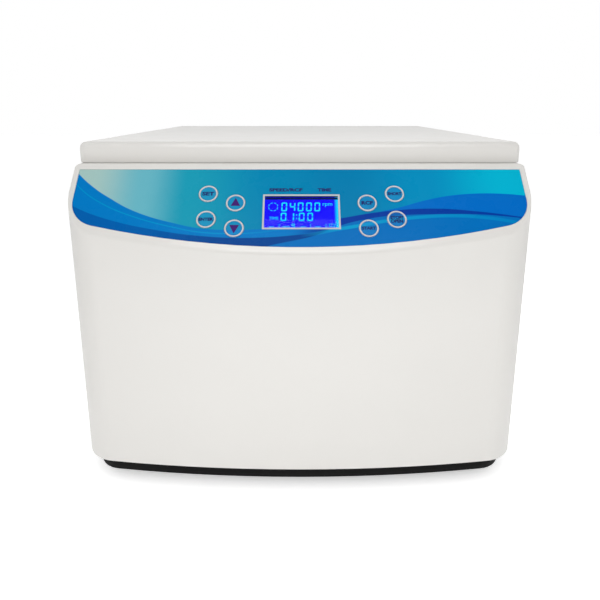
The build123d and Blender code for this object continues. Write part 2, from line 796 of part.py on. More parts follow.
# ---------------------------------------------------------------- lid lock
striker_half = 13.0
striker_rod = 2.5
striker_drop = liner_under - 30.5
striker_base = (40.0, 12.0, 2.0)
with BuildPart() as lid_striker:
    with BuildSketch(Plane.XY.offset(liner_under)):
        with Locations((0, striker_y)):
            RectangleRounded(striker_base[0], striker_base[1], 2)
    extrude(amount=-striker_base[2])
    with BuildLine() as loop:
        FilletPolyline(
            (-striker_half, striker_y, liner_under - 1),
            (-striker_half, striker_y, striker_drop),
            (striker_half, striker_y, striker_drop),
            (striker_half, striker_y, liner_under - 1),
            radius=5,
        )
    with BuildSketch(Plane(origin=loop.line @ 0, z_dir=loop.line % 0)):
        Circle(striker_rod)
    sweep()
save(lid_striker.part, "lid_striker")

catch_y, catch_z = striker_y - 14.0, striker_drop - 20.0
catch_swing = 22.0
catch_half = 4.0
catch_pin = 2.0
nose_gap = 0.8
tail_reach = 14.0
cheek_in, cheek_thick = 5.0, 2.0
cheek_front, cheek_back = catch_y - 11.0, catch_y + 7.0
lock_shelf = catch_z - 12.0
nose_low = 20.0 + striker_rod + nose_gap
with BuildPart() as lock_catch:
    with BuildSketch(Plane.YZ.offset(-catch_half)) as catch_side:
        with BuildLine():
            Polyline(
                (-5, -5),
                (5, -5),
                (5, nose_low),
                (20, nose_low),
                (18, nose_low + 4),
                (8, nose_low + 7),
                (-3, nose_low + 7),
                (-5, nose_low),
                close=True,
            )
        make_face()
    extrude(amount=2 * catch_half)
    with BuildSketch(Plane.XY.offset(-1.25)):
        with Locations((0, -(tail_reach + 5) / 2)):
            Rectangle(2 * catch_half, tail_reach + 5)
        with Locations((0, -tail_reach - 2)):
            Rectangle(4.6, 9, mode=Mode.SUBTRACT)
    extrude(amount=2.5)
    Cylinder(catch_pin, 2 * (cheek_in + cheek_thick + 1), rotation=(0, 90, 0))
catch_rest = Location((0, catch_y, catch_z)) * Location((0, 0, 0), (catch_swing, 0, 0))
save(lock_catch.part.moved(catch_rest), "lock_catch")

plate_back = striker_y - striker_slot[1] / 2 - 1.0
shelf_front = catch_y - 28.0
cheek_spots = [(side * (cheek_in + cheek_thick / 2), (cheek_front + cheek_back) / 2) for side in (-1, 1)]
stem_y = catch_y - tail_reach - 1.4
flange_radius_small, flange_gap = 3.5, 6.2
plunger_travel = tail_reach * tan(radians(catch_swing)) + 0.55
with BuildPart() as lock_frame:
    with BuildSketch(Plane.XY.offset(deck_under)):
        with Locations((0, plate_back - 9)):
            Rectangle(52, 18)
    extrude(amount=-2)
    with BuildSketch(Plane.XY.offset(lock_shelf)):
        with Locations(*cheek_spots):
            Rectangle(cheek_thick, cheek_back - cheek_front)
    extrude(amount=deck_under - lock_shelf)
    with BuildSketch(Plane.XY.offset(lock_shelf)):
        with Locations((0, (shelf_front + cheek_back) / 2)):
            Rectangle(28, cheek_back - shelf_front)
        with Locations((0, stem_y)):
            Circle(4.5, mode=Mode.SUBTRACT)
    extrude(amount=-2)
    with Locations((0, catch_y, catch_z)):
        Cylinder(catch_pin + running, 30, rotation=(0, 90, 0), mode=Mode.SUBTRACT)
save(lock_frame.part, "lock_frame")

solenoid_top = lock_shelf - 2
with BuildPart() as lock_solenoid:
    with Locations((0, stem_y, solenoid_top)):
        Box(20, 20, 36, align=(Align.CENTER, Align.CENTER, Align.MAX))
    fillet(lock_solenoid.edges().filter_by(Axis.Z), 2)
    with Locations((0, stem_y, solenoid_top)):
        Box(26, 14, 2, align=(Align.CENTER, Align.CENTER, Align.MAX))
    with Locations((0, stem_y, solenoid_top)):
        Hole(3.6, depth=30)
save(lock_solenoid.part, "lock_solenoid")

flange_middle = catch_z - plunger_travel
with BuildPart() as lock_plunger:
    with Locations((0, stem_y, solenoid_top - 28)):
        Cylinder(3.3, 24, align=(Align.CENTER, Align.CENTER, Align.MIN))
        Cylinder(2, flange_middle + flange_gap / 2 + 2 - solenoid_top + 28,
                 align=(Align.CENTER, Align.CENTER, Align.MIN))
    for z in (flange_middle - flange_gap / 2 - 1.5, flange_middle + flange_gap / 2):
        with Locations((0, stem_y, z)):
            Cylinder(flange_radius_small, 1.5, align=(Align.CENTER, Align.CENTER, Align.MIN))
save(lock_plunger.part, "lock_plunger")

# ---------------------------------------------------------------- lid hinges
knuckle_radius, pin_size = 5.5, 2.5
knuckle_end, knuckle_middle = 15.0, 29.0
leaf_half = knuckle_middle / 2 + 0.5 + knuckle_end
pin_reach = 160.0
damper_end = 177.0
damper_start = hinge_x + leaf_half + 1
pin_start = hinge_x - leaf_half - 1


def hinge_bar(radius, start, end):
    """A round bar on the hinge axis from start to end, measured out from the middle, on both sides."""
    with BuildPart() as bars:
        for side in (-1, 1):
            with Locations((side * (start + end) / 2, hinge_y, hinge_z)):
                Cylinder(radius, end - start, rotation=(0, 90, 0))
    return bars.part


with BuildPart() as body_hinge_leaf:
    with BuildSketch(Plane.XY.offset(deck_top)):
        with Locations((-hinge_x, hinge_y + 3.5), (hinge_x, hinge_y + 3.5)):
            RectangleRounded(2 * leaf_half, 18, 2)
    extrude(amount=2)
    starts = [s * hinge_x + x for s in (-1, 1) for x in (-leaf_half, leaf_half - knuckle_end)]
    for start in starts:
        with BuildSketch(Plane.YZ.offset(start)):
            with Locations((hinge_y, hinge_z)):
                Circle(knuckle_radius)
            with Locations((hinge_y, (deck_top + hinge_z) / 2)):
                Rectangle(2 * knuckle_radius, hinge_z - deck_top)
        extrude(amount=knuckle_end)
    add(hinge_bar(pin_size + running, pin_start, pin_reach), mode=Mode.SUBTRACT)
save(body_hinge_leaf.part, "body_hinge_leaf")

with BuildPart() as lid_hinge_leaf:
    for x in (-hinge_x, hinge_x):
        with BuildSketch(Plane.XZ.offset(-(lid_back + 2))):
            with Locations((x, hinge_z)):
                RectangleRounded(knuckle_middle + 20, 10, 2)
        extrude(amount=2)
        with BuildSketch(Plane.YZ.offset(x - knuckle_middle / 2)):
            with Locations((hinge_y, hinge_z)):
                Circle(knuckle_radius)
            with Locations(((lid_back + hinge_y) / 2 + 0.5, hinge_z)):
                Rectangle(hinge_y - lid_back - 1, 8)
        extrude(amount=knuckle_middle)
    add(hinge_bar(pin_size + running, pin_start, pin_reach), mode=Mode.SUBTRACT)
save(lid_hinge_leaf.part, "lid_hinge_leaf")
save(hinge_bar(pin_size, pin_start, pin_reach), "hinge_pins")

with BuildPart() as hinge_dampers:
    add(hinge_bar(knuckle_radius, damper_start, damper_end))
    for side in (-1, 1):
        with Locations((side * (damper_start + damper_end) / 2, hinge_y, deck_top)):
            Box(damper_end - damper_start, 2 * knuckle_radius, hinge_z - deck_top,
                align=(Align.CENTER, Align.CENTER, Align.MIN))
    add(hinge_bar(pin_size + running, pin_start, pin_reach + 0.5), mode=Mode.SUBTRACT)
save(hinge_dampers.part, "hinge_dampers")

# ---------------------------------------------------------------- cooling fan
spider = 3.0
fan_hub, fan_tip, axle = 16.0, 36.5, 2.0
rotor_front = 2.0  # rotor, behind the rear panel
rotor_length = fan_thick - spider - rotor_front - 1.4
blades = 7
with BuildPart() as fan_frame:
    with BuildSketch(Plane.XZ.offset(-rear_inner)):
        with Locations((fan_x, fan_z)):
            RectangleRounded(fan_size, fan_size, 5)
            Circle(fan_duct, mode=Mode.SUBTRACT)
            with GridLocations(fan_pitch, fan_pitch, 2, 2):
                Circle(boss_hole, mode=Mode.SUBTRACT)
    extrude(amount=fan_thick)
    with BuildSketch(Plane.XZ.offset(-(rear_inner - fan_thick + spider))):
        with Locations((fan_x, fan_z)):
            Circle(fan_hub + 1)
            with PolarLocations((fan_hub + fan_duct) / 2, 3):
                Rectangle(fan_duct - fan_hub + 2, 4)
    extrude(amount=spider)
    with BuildSketch(Plane.XZ.offset(-(rear_inner - fan_thick + spider))):
        with Locations((fan_x, fan_z)):
            Circle(axle)
    extrude(amount=-14)
save(fan_frame.part, "fan_frame")

with BuildPart() as fan_rotor:
    Cylinder(fan_hub, rotor_length, align=(Align.CENTER, Align.CENTER, Align.MIN))
    with Locations((0, 0, rotor_length / 2)):
        with PolarLocations(fan_hub + 10.5, blades):
            Box(22, 1.8, rotor_length + 1, rotation=(38, 0, 0))
    Cylinder(fan_tip, rotor_length, align=(Align.CENTER, Align.CENTER, Align.MIN), mode=Mode.INTERSECT)
    with Locations((0, 0, rotor_length)):
        Hole(axle + running, depth=14)
rotor_spot = Location((fan_x, rear_inner - rotor_front, fan_z), (90, 0, 0))
save(fan_rotor.part.moved(rotor_spot), "fan_rotor")

guard_rings = (39.0, 30.0, 20.0, 10.0)
guard_wire = 1.8
ring_back = rear_face + guard_eye - 0.4
with BuildPart() as fan_guard:
    with BuildSketch(Plane.XZ.offset(-rear_face)):
        with Locations((fan_x, fan_z)):
            with GridLocations(fan_pitch, fan_pitch, 2, 2):
                Circle(4.5)
    extrude(amount=-guard_eye)
    with BuildSketch(Plane.XZ.offset(-(rear_face + guard_eye))):
        with Locations((fan_x, fan_z)):
            for turn in (45, -45):
                Rectangle(fan_pitch * sqrt(2), guard_wire, rotation=turn)
    extrude(amount=guard_wire)
    with BuildSketch(Plane.XZ.offset(-(depth / 2))):
        with Locations((fan_x, fan_z)):
            for radius in guard_rings:
                Circle(radius + guard_wire / 2)
                Circle(radius - guard_wire / 2, mode=Mode.SUBTRACT)
    extrude(amount=depth / 2 - ring_back)
    with Locations((fan_x, rear_face + guard_eye, fan_z)):
        with Locations(*[Location((x, 0, z), (-90, 0, 0)) for x in (-fan_pitch / 2, fan_pitch / 2)
                         for z in (-fan_pitch / 2, fan_pitch / 2)]):
            Hole(boss_hole, depth=guard_eye)
save(fan_guard.part, "fan_guard")

# ---------------------------------------------------------------- mains inlet with fuse drawer and switch
inlet_flange = (34.0, 66.0)
inlet_flange_thick = 2.5
inlet_front = rear_face + inlet_flange_thick
socket_z, socket_width, socket_height, socket_depth = inlet_z - 16.0, 24.4, 16.8, 17.0
fuse_z, fuse_half_width, fuse_half_height, fuse_depth = inlet_z + 6.0, 11.0, 4.3, 26.0
rocker_z, rocker_half_width, rocker_half_height, rocker_depth = inlet_z + 21.0, 10.6, 5.8, 14.0
rocker_pivot = inlet_front - 2.5
rocker_tilt = 8.0
trunnion = 1.5
blade_spots = [(inlet_x, socket_z + 3.2), (inlet_x - 7, socket_z - 1.5), (inlet_x + 7, socket_z - 1.5)]
with BuildPart() as power_inlet:
    with BuildSketch(Plane.XZ.offset(-inlet_front)):
        with Locations((inlet_x, inlet_z)):
            RectangleRounded(*inlet_flange, 3)
    extrude(amount=inlet_flange_thick)
    with BuildSketch(Plane.XZ.offset(-rear_face)):
        with Locations((inlet_x, inlet_z)):
            Rectangle(*inlet_body)
    extrude(amount=inlet_depth)
    with BuildSketch(Plane.XZ.offset(-inlet_front)) as socket_mouth:
        with Locations((inlet_x, socket_z)):
            Rectangle(socket_width, socket_height)
        chamfer(socket_mouth.vertices().group_by(Axis.Y)[0], 5)
    extrude(amount=socket_depth, mode=Mode.SUBTRACT)
    with BuildSketch(Plane.XZ.offset(-inlet_front)):
        with Locations((inlet_x, fuse_z)):
            Rectangle(2 * fuse_half_width, 2 * fuse_half_height)
    extrude(amount=fuse_depth, mode=Mode.SUBTRACT)
    with BuildSketch(Plane.XZ.offset(-inlet_front)):
        with Locations((inlet_x, rocker_z)):
            Rectangle(2 * rocker_half_width, 2 * rocker_half_height)
    extrude(amount=rocker_depth, mode=Mode.SUBTRACT)
    with Locations((inlet_x, rocker_pivot, rocker_z)):
        Cylinder(trunnion + running, 2 * rocker_half_height + 2.2, mode=Mode.SUBTRACT)
save(power_inlet.part, "power_inlet")

with BuildPart() as inlet_pins:
    with BuildSketch(Plane.XZ.offset(-(inlet_front - socket_depth))):
        with Locations(*blade_spots):
            Rectangle(2, 4)
    extrude(amount=-(socket_depth - 5.8))
    with BuildSketch(Plane.XZ.offset(-(rear_face - inlet_depth))):
        with Locations(*blade_spots):
            Rectangle(0.8, 6.3)
    extrude(amount=8)
save(inlet_pins.part, "inlet_pins")

drawer_half_width, drawer_half_height = fuse_half_width - seat_gap, fuse_half_height - seat_gap
with BuildPart() as fuse_drawer:
    with BuildSketch(Plane.XZ.offset(-inlet_front)):
        with Locations((inlet_x, fuse_z)):
            Rectangle(2 * drawer_half_width, 2 * drawer_half_height)
    extrude(amount=fuse_depth - 0.6)
    with BuildSketch(Plane.XZ.offset(-inlet_front)):
        with Locations((inlet_x, fuse_z)):
            RectangleRounded(2 * fuse_half_width + 2, 2 * fuse_half_height + 1.4, 1)
    extrude(amount=-1.6)
    with BuildSketch(Plane.XY.offset(fuse_z + drawer_half_height)):
        with Locations((inlet_x, inlet_front - fuse_depth / 2)):
            Rectangle(5.6, 21)
    extrude(amount=-2 * drawer_half_height + 1.6, mode=Mode.SUBTRACT)
save(fuse_drawer.part, "fuse_drawer")

with BuildPart() as power_rocker:
    with BuildSketch(Plane.XY.offset(-rocker_half_height + slip)):
        with BuildLine():
            Polyline((-9.6, 3.2), (0, 2), (9.6, 3.2), (9, -3), (3, -7), (-3, -7), (-9, -3), close=True)
        make_face()
    extrude(amount=2 * (rocker_half_height - slip))
    Cylinder(trunnion, 2 * rocker_half_height + 1.6)
rocker_rest = Location((inlet_x, rocker_pivot, rocker_z), (0, 0, -rocker_tilt))
save(power_rocker.part.moved(rocker_rest), "power_rocker")

with BuildPart() as rating_plate:
    with BuildSketch(Plane.XZ.offset(-(rear_face + 0.5))):
        with Locations((0, inlet_z)):
            RectangleRounded(64, 40, 2)
    extrude(amount=0.5)
save(rating_plate.part, "rating_plate")

# ---------------------------------------------------------------- power electronics on the tray
board_centre = (-135.0, chamber_y)
transformer_centre = (135.0, chamber_y)
standoff = 8.0
drive_board_top = tray_floor + standoff + board_thick
with BuildPart() as drive_board:
    with BuildSketch(Plane.XY.offset(tray_floor)):
        with Locations(board_centre):
            with GridLocations(48, 100, 2, 2):
                Circle(3)
    extrude(amount=standoff)
    with BuildSketch(Plane.XY.offset(tray_floor + standoff)):
        with Locations(board_centre):
            RectangleRounded(60, 116, 3)
    extrude(amount=board_thick)
    with BuildSketch(Plane.XY.offset(drive_board_top)):
        with Locations((board_centre[0] + 14, board_centre[1])):
            with GridLocations(0, 34, 1, 3):
                Circle(9)
    extrude(amount=32)
    with BuildSketch(Plane.XY.offset(drive_board_top)):
        with Locations((board_centre[0] - 15, board_centre[1])):
            Rectangle(24, 84)
    extrude(amount=5)
    with BuildSketch(Plane.XY.offset(drive_board_top + 5)):
        with Locations((board_centre[0] - 15, board_centre[1])):
            with GridLocations(5.4, 0, 5, 1):
                Rectangle(1.6, 84)
    extrude(amount=22)
save(drive_board.part, "drive_board")

with BuildPart() as power_transformer:
    with BuildSketch(Plane.XY.offset(tray_floor)):
        with Locations(transformer_centre):
            Rectangle(44, 88)
    extrude(amount=3)
    with BuildSketch(Plane.XY.offset(tray_floor)):
        with Locations(transformer_centre):
            Rectangle(44, 66)
    extrude(amount=58)
    with BuildSketch(Plane.XY.offset(tray_floor + 12)):
        with Locations(transformer_centre):
            RectangleRounded(64, 40, 6)
    extrude(amount=36)
save(power_transformer.part, "power_transformer")
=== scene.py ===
"""Finishes, printed panel, lit display, legends and studio for a benchtop laboratory centrifuge."""

from math import cos, pi, radians, sin

import bmesh
import bpy
from mathutils import Matrix, Vector


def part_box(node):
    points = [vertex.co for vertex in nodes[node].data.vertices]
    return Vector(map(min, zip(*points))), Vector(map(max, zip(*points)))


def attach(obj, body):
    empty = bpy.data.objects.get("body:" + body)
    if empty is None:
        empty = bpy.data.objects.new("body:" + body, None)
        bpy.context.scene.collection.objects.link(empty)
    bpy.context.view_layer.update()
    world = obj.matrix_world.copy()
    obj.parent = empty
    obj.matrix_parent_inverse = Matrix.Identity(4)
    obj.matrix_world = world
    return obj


bl_info = {
    "name": "Laboratory centrifuge",
    "version": (1, 0, 0),
    "blender": (4, 5, 0),
    "location": "3D View > Sidebar > Centrifuge",
    "description": "Finishes, panel print, display and studio for a benchtop laboratory centrifuge",
    "category": "Object",
}

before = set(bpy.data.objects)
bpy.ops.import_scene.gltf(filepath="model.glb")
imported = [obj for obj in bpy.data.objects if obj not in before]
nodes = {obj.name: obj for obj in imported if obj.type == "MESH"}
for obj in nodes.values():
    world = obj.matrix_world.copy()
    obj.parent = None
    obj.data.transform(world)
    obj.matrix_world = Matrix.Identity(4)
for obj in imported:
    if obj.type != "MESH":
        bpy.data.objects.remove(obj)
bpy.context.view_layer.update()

MM = 0.001
KEYS = ("key_set", "key_enter", "key_up", "key_down", "key_mode", "key_start", "key_short", "key_stop")

# The control panel's slope: its top edge in the middle, and its three directions
SLOPE = radians(49)
SLOPE_TOP = Vector((0, -0.202, 0.295))
ACROSS = Vector((1, 0, 0))
DOWN = Vector((0, -cos(SLOPE), -sin(SLOPE)))
OUT = Vector((0, -sin(SLOPE), cos(SLOPE)))
FILM_FRONT = -0.2  # the overlay's printed face, in millimetres out of the slope
DISPLAY_FACE = -2.1  # the display module's glass


def on_slope(across, down, out=FILM_FRONT):
    """A matrix at a place on the sloping panel, millimetres: X across, Y up the slope, Z out of it."""
    place = SLOPE_TOP + (ACROSS * across + DOWN * down + OUT * out) * MM
    turn = Matrix((ACROSS, -DOWN, OUT)).transposed().to_4x4()
    return Matrix.Translation(place) @ turn


def slope_place(node):
    """How far across and down the slope, in millimetres, the middle of a CAD node lies."""
    low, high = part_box(node)
    middle = (low + high) / 2
    return middle.x / MM, (middle - SLOPE_TOP).dot(DOWN) / MM


# ------------------------------------------------------------------ mesh helpers
def piece(name, mesh, mat, body, place=None):
    """Makes one object from a mesh, gives it its material and lets it move with a body."""
    obj = bpy.data.objects.new(name, mesh)
    bpy.context.scene.collection.objects.link(obj)
    if place is not None:
        mesh.transform(place)
    mesh.materials.clear()
    mesh.materials.append(mat)
    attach(obj, body)
    return obj


def to_mesh(bm, name, smooth=True):
    """Closes a bmesh into a mesh."""
    bmesh.ops.recalc_face_normals(bm, faces=bm.faces)
    mesh = bpy.data.meshes.new(name)
    bm.to_mesh(mesh)
    bm.free()
    for face in mesh.polygons:
        face.use_smooth = smooth
    return mesh


def turned(name, profile, steps=96):
    """Turns a closed or axis-to-axis profile of (radius, height) in millimetres about Z."""
    bm = bmesh.new()
    rings = []
    for radius, height in profile:
        if radius == 0:
            rings.append([bm.verts.new((0, 0, height * MM))])
            continue
        rings.append([
            bm.verts.new((radius * MM * cos(2 * pi * k / steps), radius * MM * sin(2 * pi * k / steps),
                          height * MM))
            for k in range(steps)
        ])
    pairs = list(zip(rings, rings[1:]))
    if profile[0][0] and profile[-1][0]:
        pairs.append((rings[-1], rings[0]))
    for low, high in pairs:
        for k in range(steps):
            after = (k + 1) % steps
            corners = [low[k % len(low)], low[after % len(low)],
                       high[after % len(high)], high[k % len(high)]]
            bm.faces.new(list(dict.fromkeys(corners)))
    return to_mesh(bm, name)


def slab(bm, outline, low, high):
    """Adds a flat prism from an outline of (x, y) points, all in millimetres."""
    base = [bm.verts.new((x * MM, y * MM, low * MM)) for x, y in outline]
    face = bm.faces.new(base)
    lifted = bmesh.ops.extrude_face_region(bm, geom=[face])["geom"]
    tops = [item for item in lifted if isinstance(item, bmesh.types.BMVert)]
    bmesh.ops.translate(bm, verts=tops, vec=(0, 0, (high - low) * MM))


def rim_path(low, high, inset, corner, steps=6):
    """Points round a rounded rectangle inside a box, in metres."""
    radius = corner - inset
    centres = ((high.x - corner, high.y - corner, 0), (low.x + corner, high.y - corner, 1),
               (low.x + corner, low.y + corner, 2), (high.x - corner, low.y + corner, 3))
    return [(cx + radius * cos(pi / 2 * (quarter + k / steps)),
             cy + radius * sin(pi / 2 * (quarter + k / steps)))
            for cx, cy, quarter in centres for k in range(steps + 1)]


def rectangle(x, y, wide, tall):
    """Corner points of a rectangle about its middle."""
    return [(x - wide / 2, y - tall / 2), (x + wide / 2, y - tall / 2),
            (x + wide / 2, y + tall / 2), (x - wide / 2, y + tall / 2)]


def lettering(name, words, wide, tall, thick, bold=0.03):
    """Raised lettering about its own middle, of a given width, height and thickness in millimetres."""
    curve = bpy.data.curves.new(name, "FONT")
    curve.body = words
    curve.align_x = "CENTER"
    curve.space_line = 0.85
    curve.offset = bold
    curve.extrude = 0.5
    curve.resolution_u = 3
    holder = bpy.data.objects.new(name, curve)
    mesh = bpy.data.meshes.new_from_object(holder)
    bpy.data.objects.remove(holder)
    bpy.data.curves.remove(curve)
    low, high = [Vector(pick(v.co[k] for v in mesh.vertices) for k in range(3)) for pick in (min, max)]
    mesh.transform(Matrix.Translation(-(low + high) / 2))
    size = high - low
    mesh.transform(Matrix.Diagonal((wide * MM / size.x, tall * MM / size.y, thick * MM / size.z, 1)))
    mesh.transform(Matrix.Translation((0, 0, thick * MM / 2)))
    return mesh


# ------------------------------------------------------------------ shader helpers
class Wiring:
    """Adds shader nodes to one tree and joins them."""

    def __init__(self, tree):
        self.tree = tree
        tree.nodes.clear()

    def add(self, kind, inputs=None, **settings):
        """A node of a kind, with its settings, and each input given a value or another node's socket."""
        node = self.tree.nodes.new(kind)
        for name, value in settings.items():
            setattr(node, name, value)
        for name, value in (inputs or {}).items():
            if isinstance(value, bpy.types.NodeSocket):
                self.tree.links.new(value, node.inputs[name])
            else:
                node.inputs[name].default_value = value
        return node

    def maths(self, operation, first, second=0.0, clamp=False):
        return self.add("ShaderNodeMath", {0: first, 1: second},
                        operation=operation, use_clamp=clamp).outputs[0]

    def mix(self, factor, first, second):
        node = self.add("ShaderNodeMix", {0: factor}, data_type="RGBA")
        for socket, value in ((node.inputs[6], first), (node.inputs[7], second)):
            if isinstance(value, bpy.types.NodeSocket):
                self.tree.links.new(value, socket)
            else:
                socket.default_value = value
        return node.outputs[2]

    def noise(self, scale, detail=2.0, rough=0.5, vector=None):
        inputs = {"Scale": scale, "Detail": detail, "Roughness": rough}
        inputs["Vector"] = vector or self.place()
        return self.add("ShaderNodeTexNoise", inputs).outputs["Fac"]

    def place(self):
        return self.add("ShaderNodeTexCoord").outputs["Object"]

    def remap(self, value, low, high, to_low=0.0, to_high=1.0):
        inputs = {"Value": value, "From Min": low, "From Max": high, "To Min": to_low, "To Max": to_high}
        return self.add("ShaderNodeMapRange", inputs).outputs["Result"]


def shader_group(name, inputs, outputs):
    """An empty node group with named inputs and outputs: its wiring, input sockets and output node."""
    tree = bpy.data.node_groups.new(name, "ShaderNodeTree")
    for socket, kind, value in inputs:
        item = tree.interface.new_socket(socket, in_out="INPUT", socket_type=kind)
        item.default_value = value
    for socket, kind in outputs:
        tree.interface.new_socket(socket, in_out="OUTPUT", socket_type=kind)
    wiring = Wiring(tree)
    return wiring, wiring.add("NodeGroupInput").outputs, wiring.add("NodeGroupOutput")


def group(name):
    """The finished node group of that name, built the first time it is asked for."""
    if name not in bpy.data.node_groups:
        GROUPS[name]()
    return bpy.data.node_groups[name]


def build_moulded_grain():
    """Fine moulded texture and the slow change of tone that large mouldings show."""
    numbers = "NodeSocketFloat"
    wiring, given, out = shader_group(
        "moulded_grain",
        [("Grain Size", numbers, 900.0), ("Tone Size", numbers, 7.0)],
        [("Height", numbers), ("Tone", numbers), ("Gloss Change", numbers)],
    )
    fine = wiring.noise(given["Grain Size"], 2.0, 0.55)
    slow = wiring.noise(given["Tone Size"], 3.0, 0.5)
    smears = wiring.noise(wiring.maths("MULTIPLY", given["Tone Size"], 5.0), 4.0, 0.6)
    wiring.tree.links.new(fine, out.inputs["Height"])
    wiring.tree.links.new(wiring.remap(slow, 0.3, 0.7), out.inputs["Tone"])
    wiring.tree.links.new(wiring.remap(smears, 0.35, 0.65), out.inputs["Gloss Change"])


def build_brushed_lines():
    """Fine lines of a brushed, turned or rolled metal, along a stretched direction."""
    numbers = "NodeSocketFloat"
    wiring, given, out = shader_group(
        "brushed_lines",
        [("Along", "NodeSocketVector", (8.0, 900.0, 900.0)), ("Turned", numbers, 0.0)],
        [("Height", numbers), ("Mask", numbers)],
    )
    place = wiring.place()
    parts = wiring.add("ShaderNodeSeparateXYZ", {"Vector": place}).outputs
    middle_y = wiring.maths("SUBTRACT", parts["Y"], sum(v.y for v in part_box("chamber_bowl")) / 2)
    spread = wiring.maths("POWER", parts["X"], 2.0)
    reach = wiring.maths("SQRT", wiring.maths("ADD", spread, wiring.maths("POWER", middle_y, 2.0)))
    round_place = wiring.add("ShaderNodeCombineXYZ", {"X": reach, "Y": parts["Z"], "Z": 0.0}).outputs[0]
    chosen = wiring.add("ShaderNodeMix", {0: given["Turned"], 4: place, 5: round_place},
                        data_type="VECTOR").outputs[1]
    stretched = wiring.add("ShaderNodeVectorMath", {0: chosen, 1: given["Along"]},
                           operation="MULTIPLY").outputs[0]
    lines = wiring.noise(1.0, 3.0, 0.6, stretched)
    wiring.tree.links.new(lines, out.inputs["Height"])
    wiring.tree.links.new(wiring.remap(lines, 0.3, 0.7), out.inputs["Mask"])


def build_settled_dust():
    """A thin film of dust on faces that look up, heavier in patches."""
    numbers = "NodeSocketFloat"
    wiring, given, out = shader_group(
        "settled_dust", [("Amount", numbers, 0.2), ("Patch Size", numbers, 30.0)], [("Mask", numbers)]
    )
    facing = wiring.add("ShaderNodeNewGeometry").outputs["Normal"]
    upward = wiring.add("ShaderNodeSeparateXYZ", {"Vector": facing}).outputs["Z"]
    patches = wiring.remap(wiring.noise(given["Patch Size"], 4.0, 0.65), 0.35, 0.75)
    level = wiring.maths("MULTIPLY", wiring.remap(upward, 0.2, 1.0), patches)
    wiring.tree.links.new(wiring.maths("MULTIPLY", level, given["Amount"], True), out.inputs["Mask"])


# Edges of the printed waves, as (across, down) on the slope in millimetres
WAVE_EDGES = {
    "main": ((-195, 10.5), (-182, 22.5), (-166, 34), (-136, 50.5), (-108, 59.5), (-80, 65.5), (-54, 66.5),
             (-30, 65.5), (10, 59.5), (34, 55.5), (74, 48.5), (115, 46), (149, 48.5), (195, 55.5)),
    "crest": ((-195, 90), (60, 90), (66, 50.5), (88, 44), (109, 37.5), (130, 33), (151, 31),
              (172, 31), (195, 33)),
    "deep": ((-195, 43), (-162, 56.5), (-121, 66.5), (-80, 72.5), (-40, 74), (9, 70), (34, 66.5),
             (60, 90), (195, 90)),
    "foot": ((-195, 90), (-44, 88), (-24, 81), (9, 73), (34, 62.5), (53, 57), (73, 53.5), (94, 52),
             (114, 51.5), (148, 51.5), (182, 54.5), (195, 56.5)),
    "left_line": ((-195, 21.5), (-172, 39.5), (-143, 53), (-108, 63.5), (-80, 69), (-54, 70), (-30, 68.5),
                  (0, 63.5), (195, 63.5)),
    "right_line": ((-195, 82), (0, 72), (34, 65.5), (50, 62.5), (73, 58), (100, 54.5), (128, 53), (155, 54.5),
                   (181, 59), (195, 62.5)),
}
HALF_PANEL = 195.0
PANEL_DEEP = 90.0
PRINT_GRAIN = 2400.0  # size of the grain in everything printed on the slope


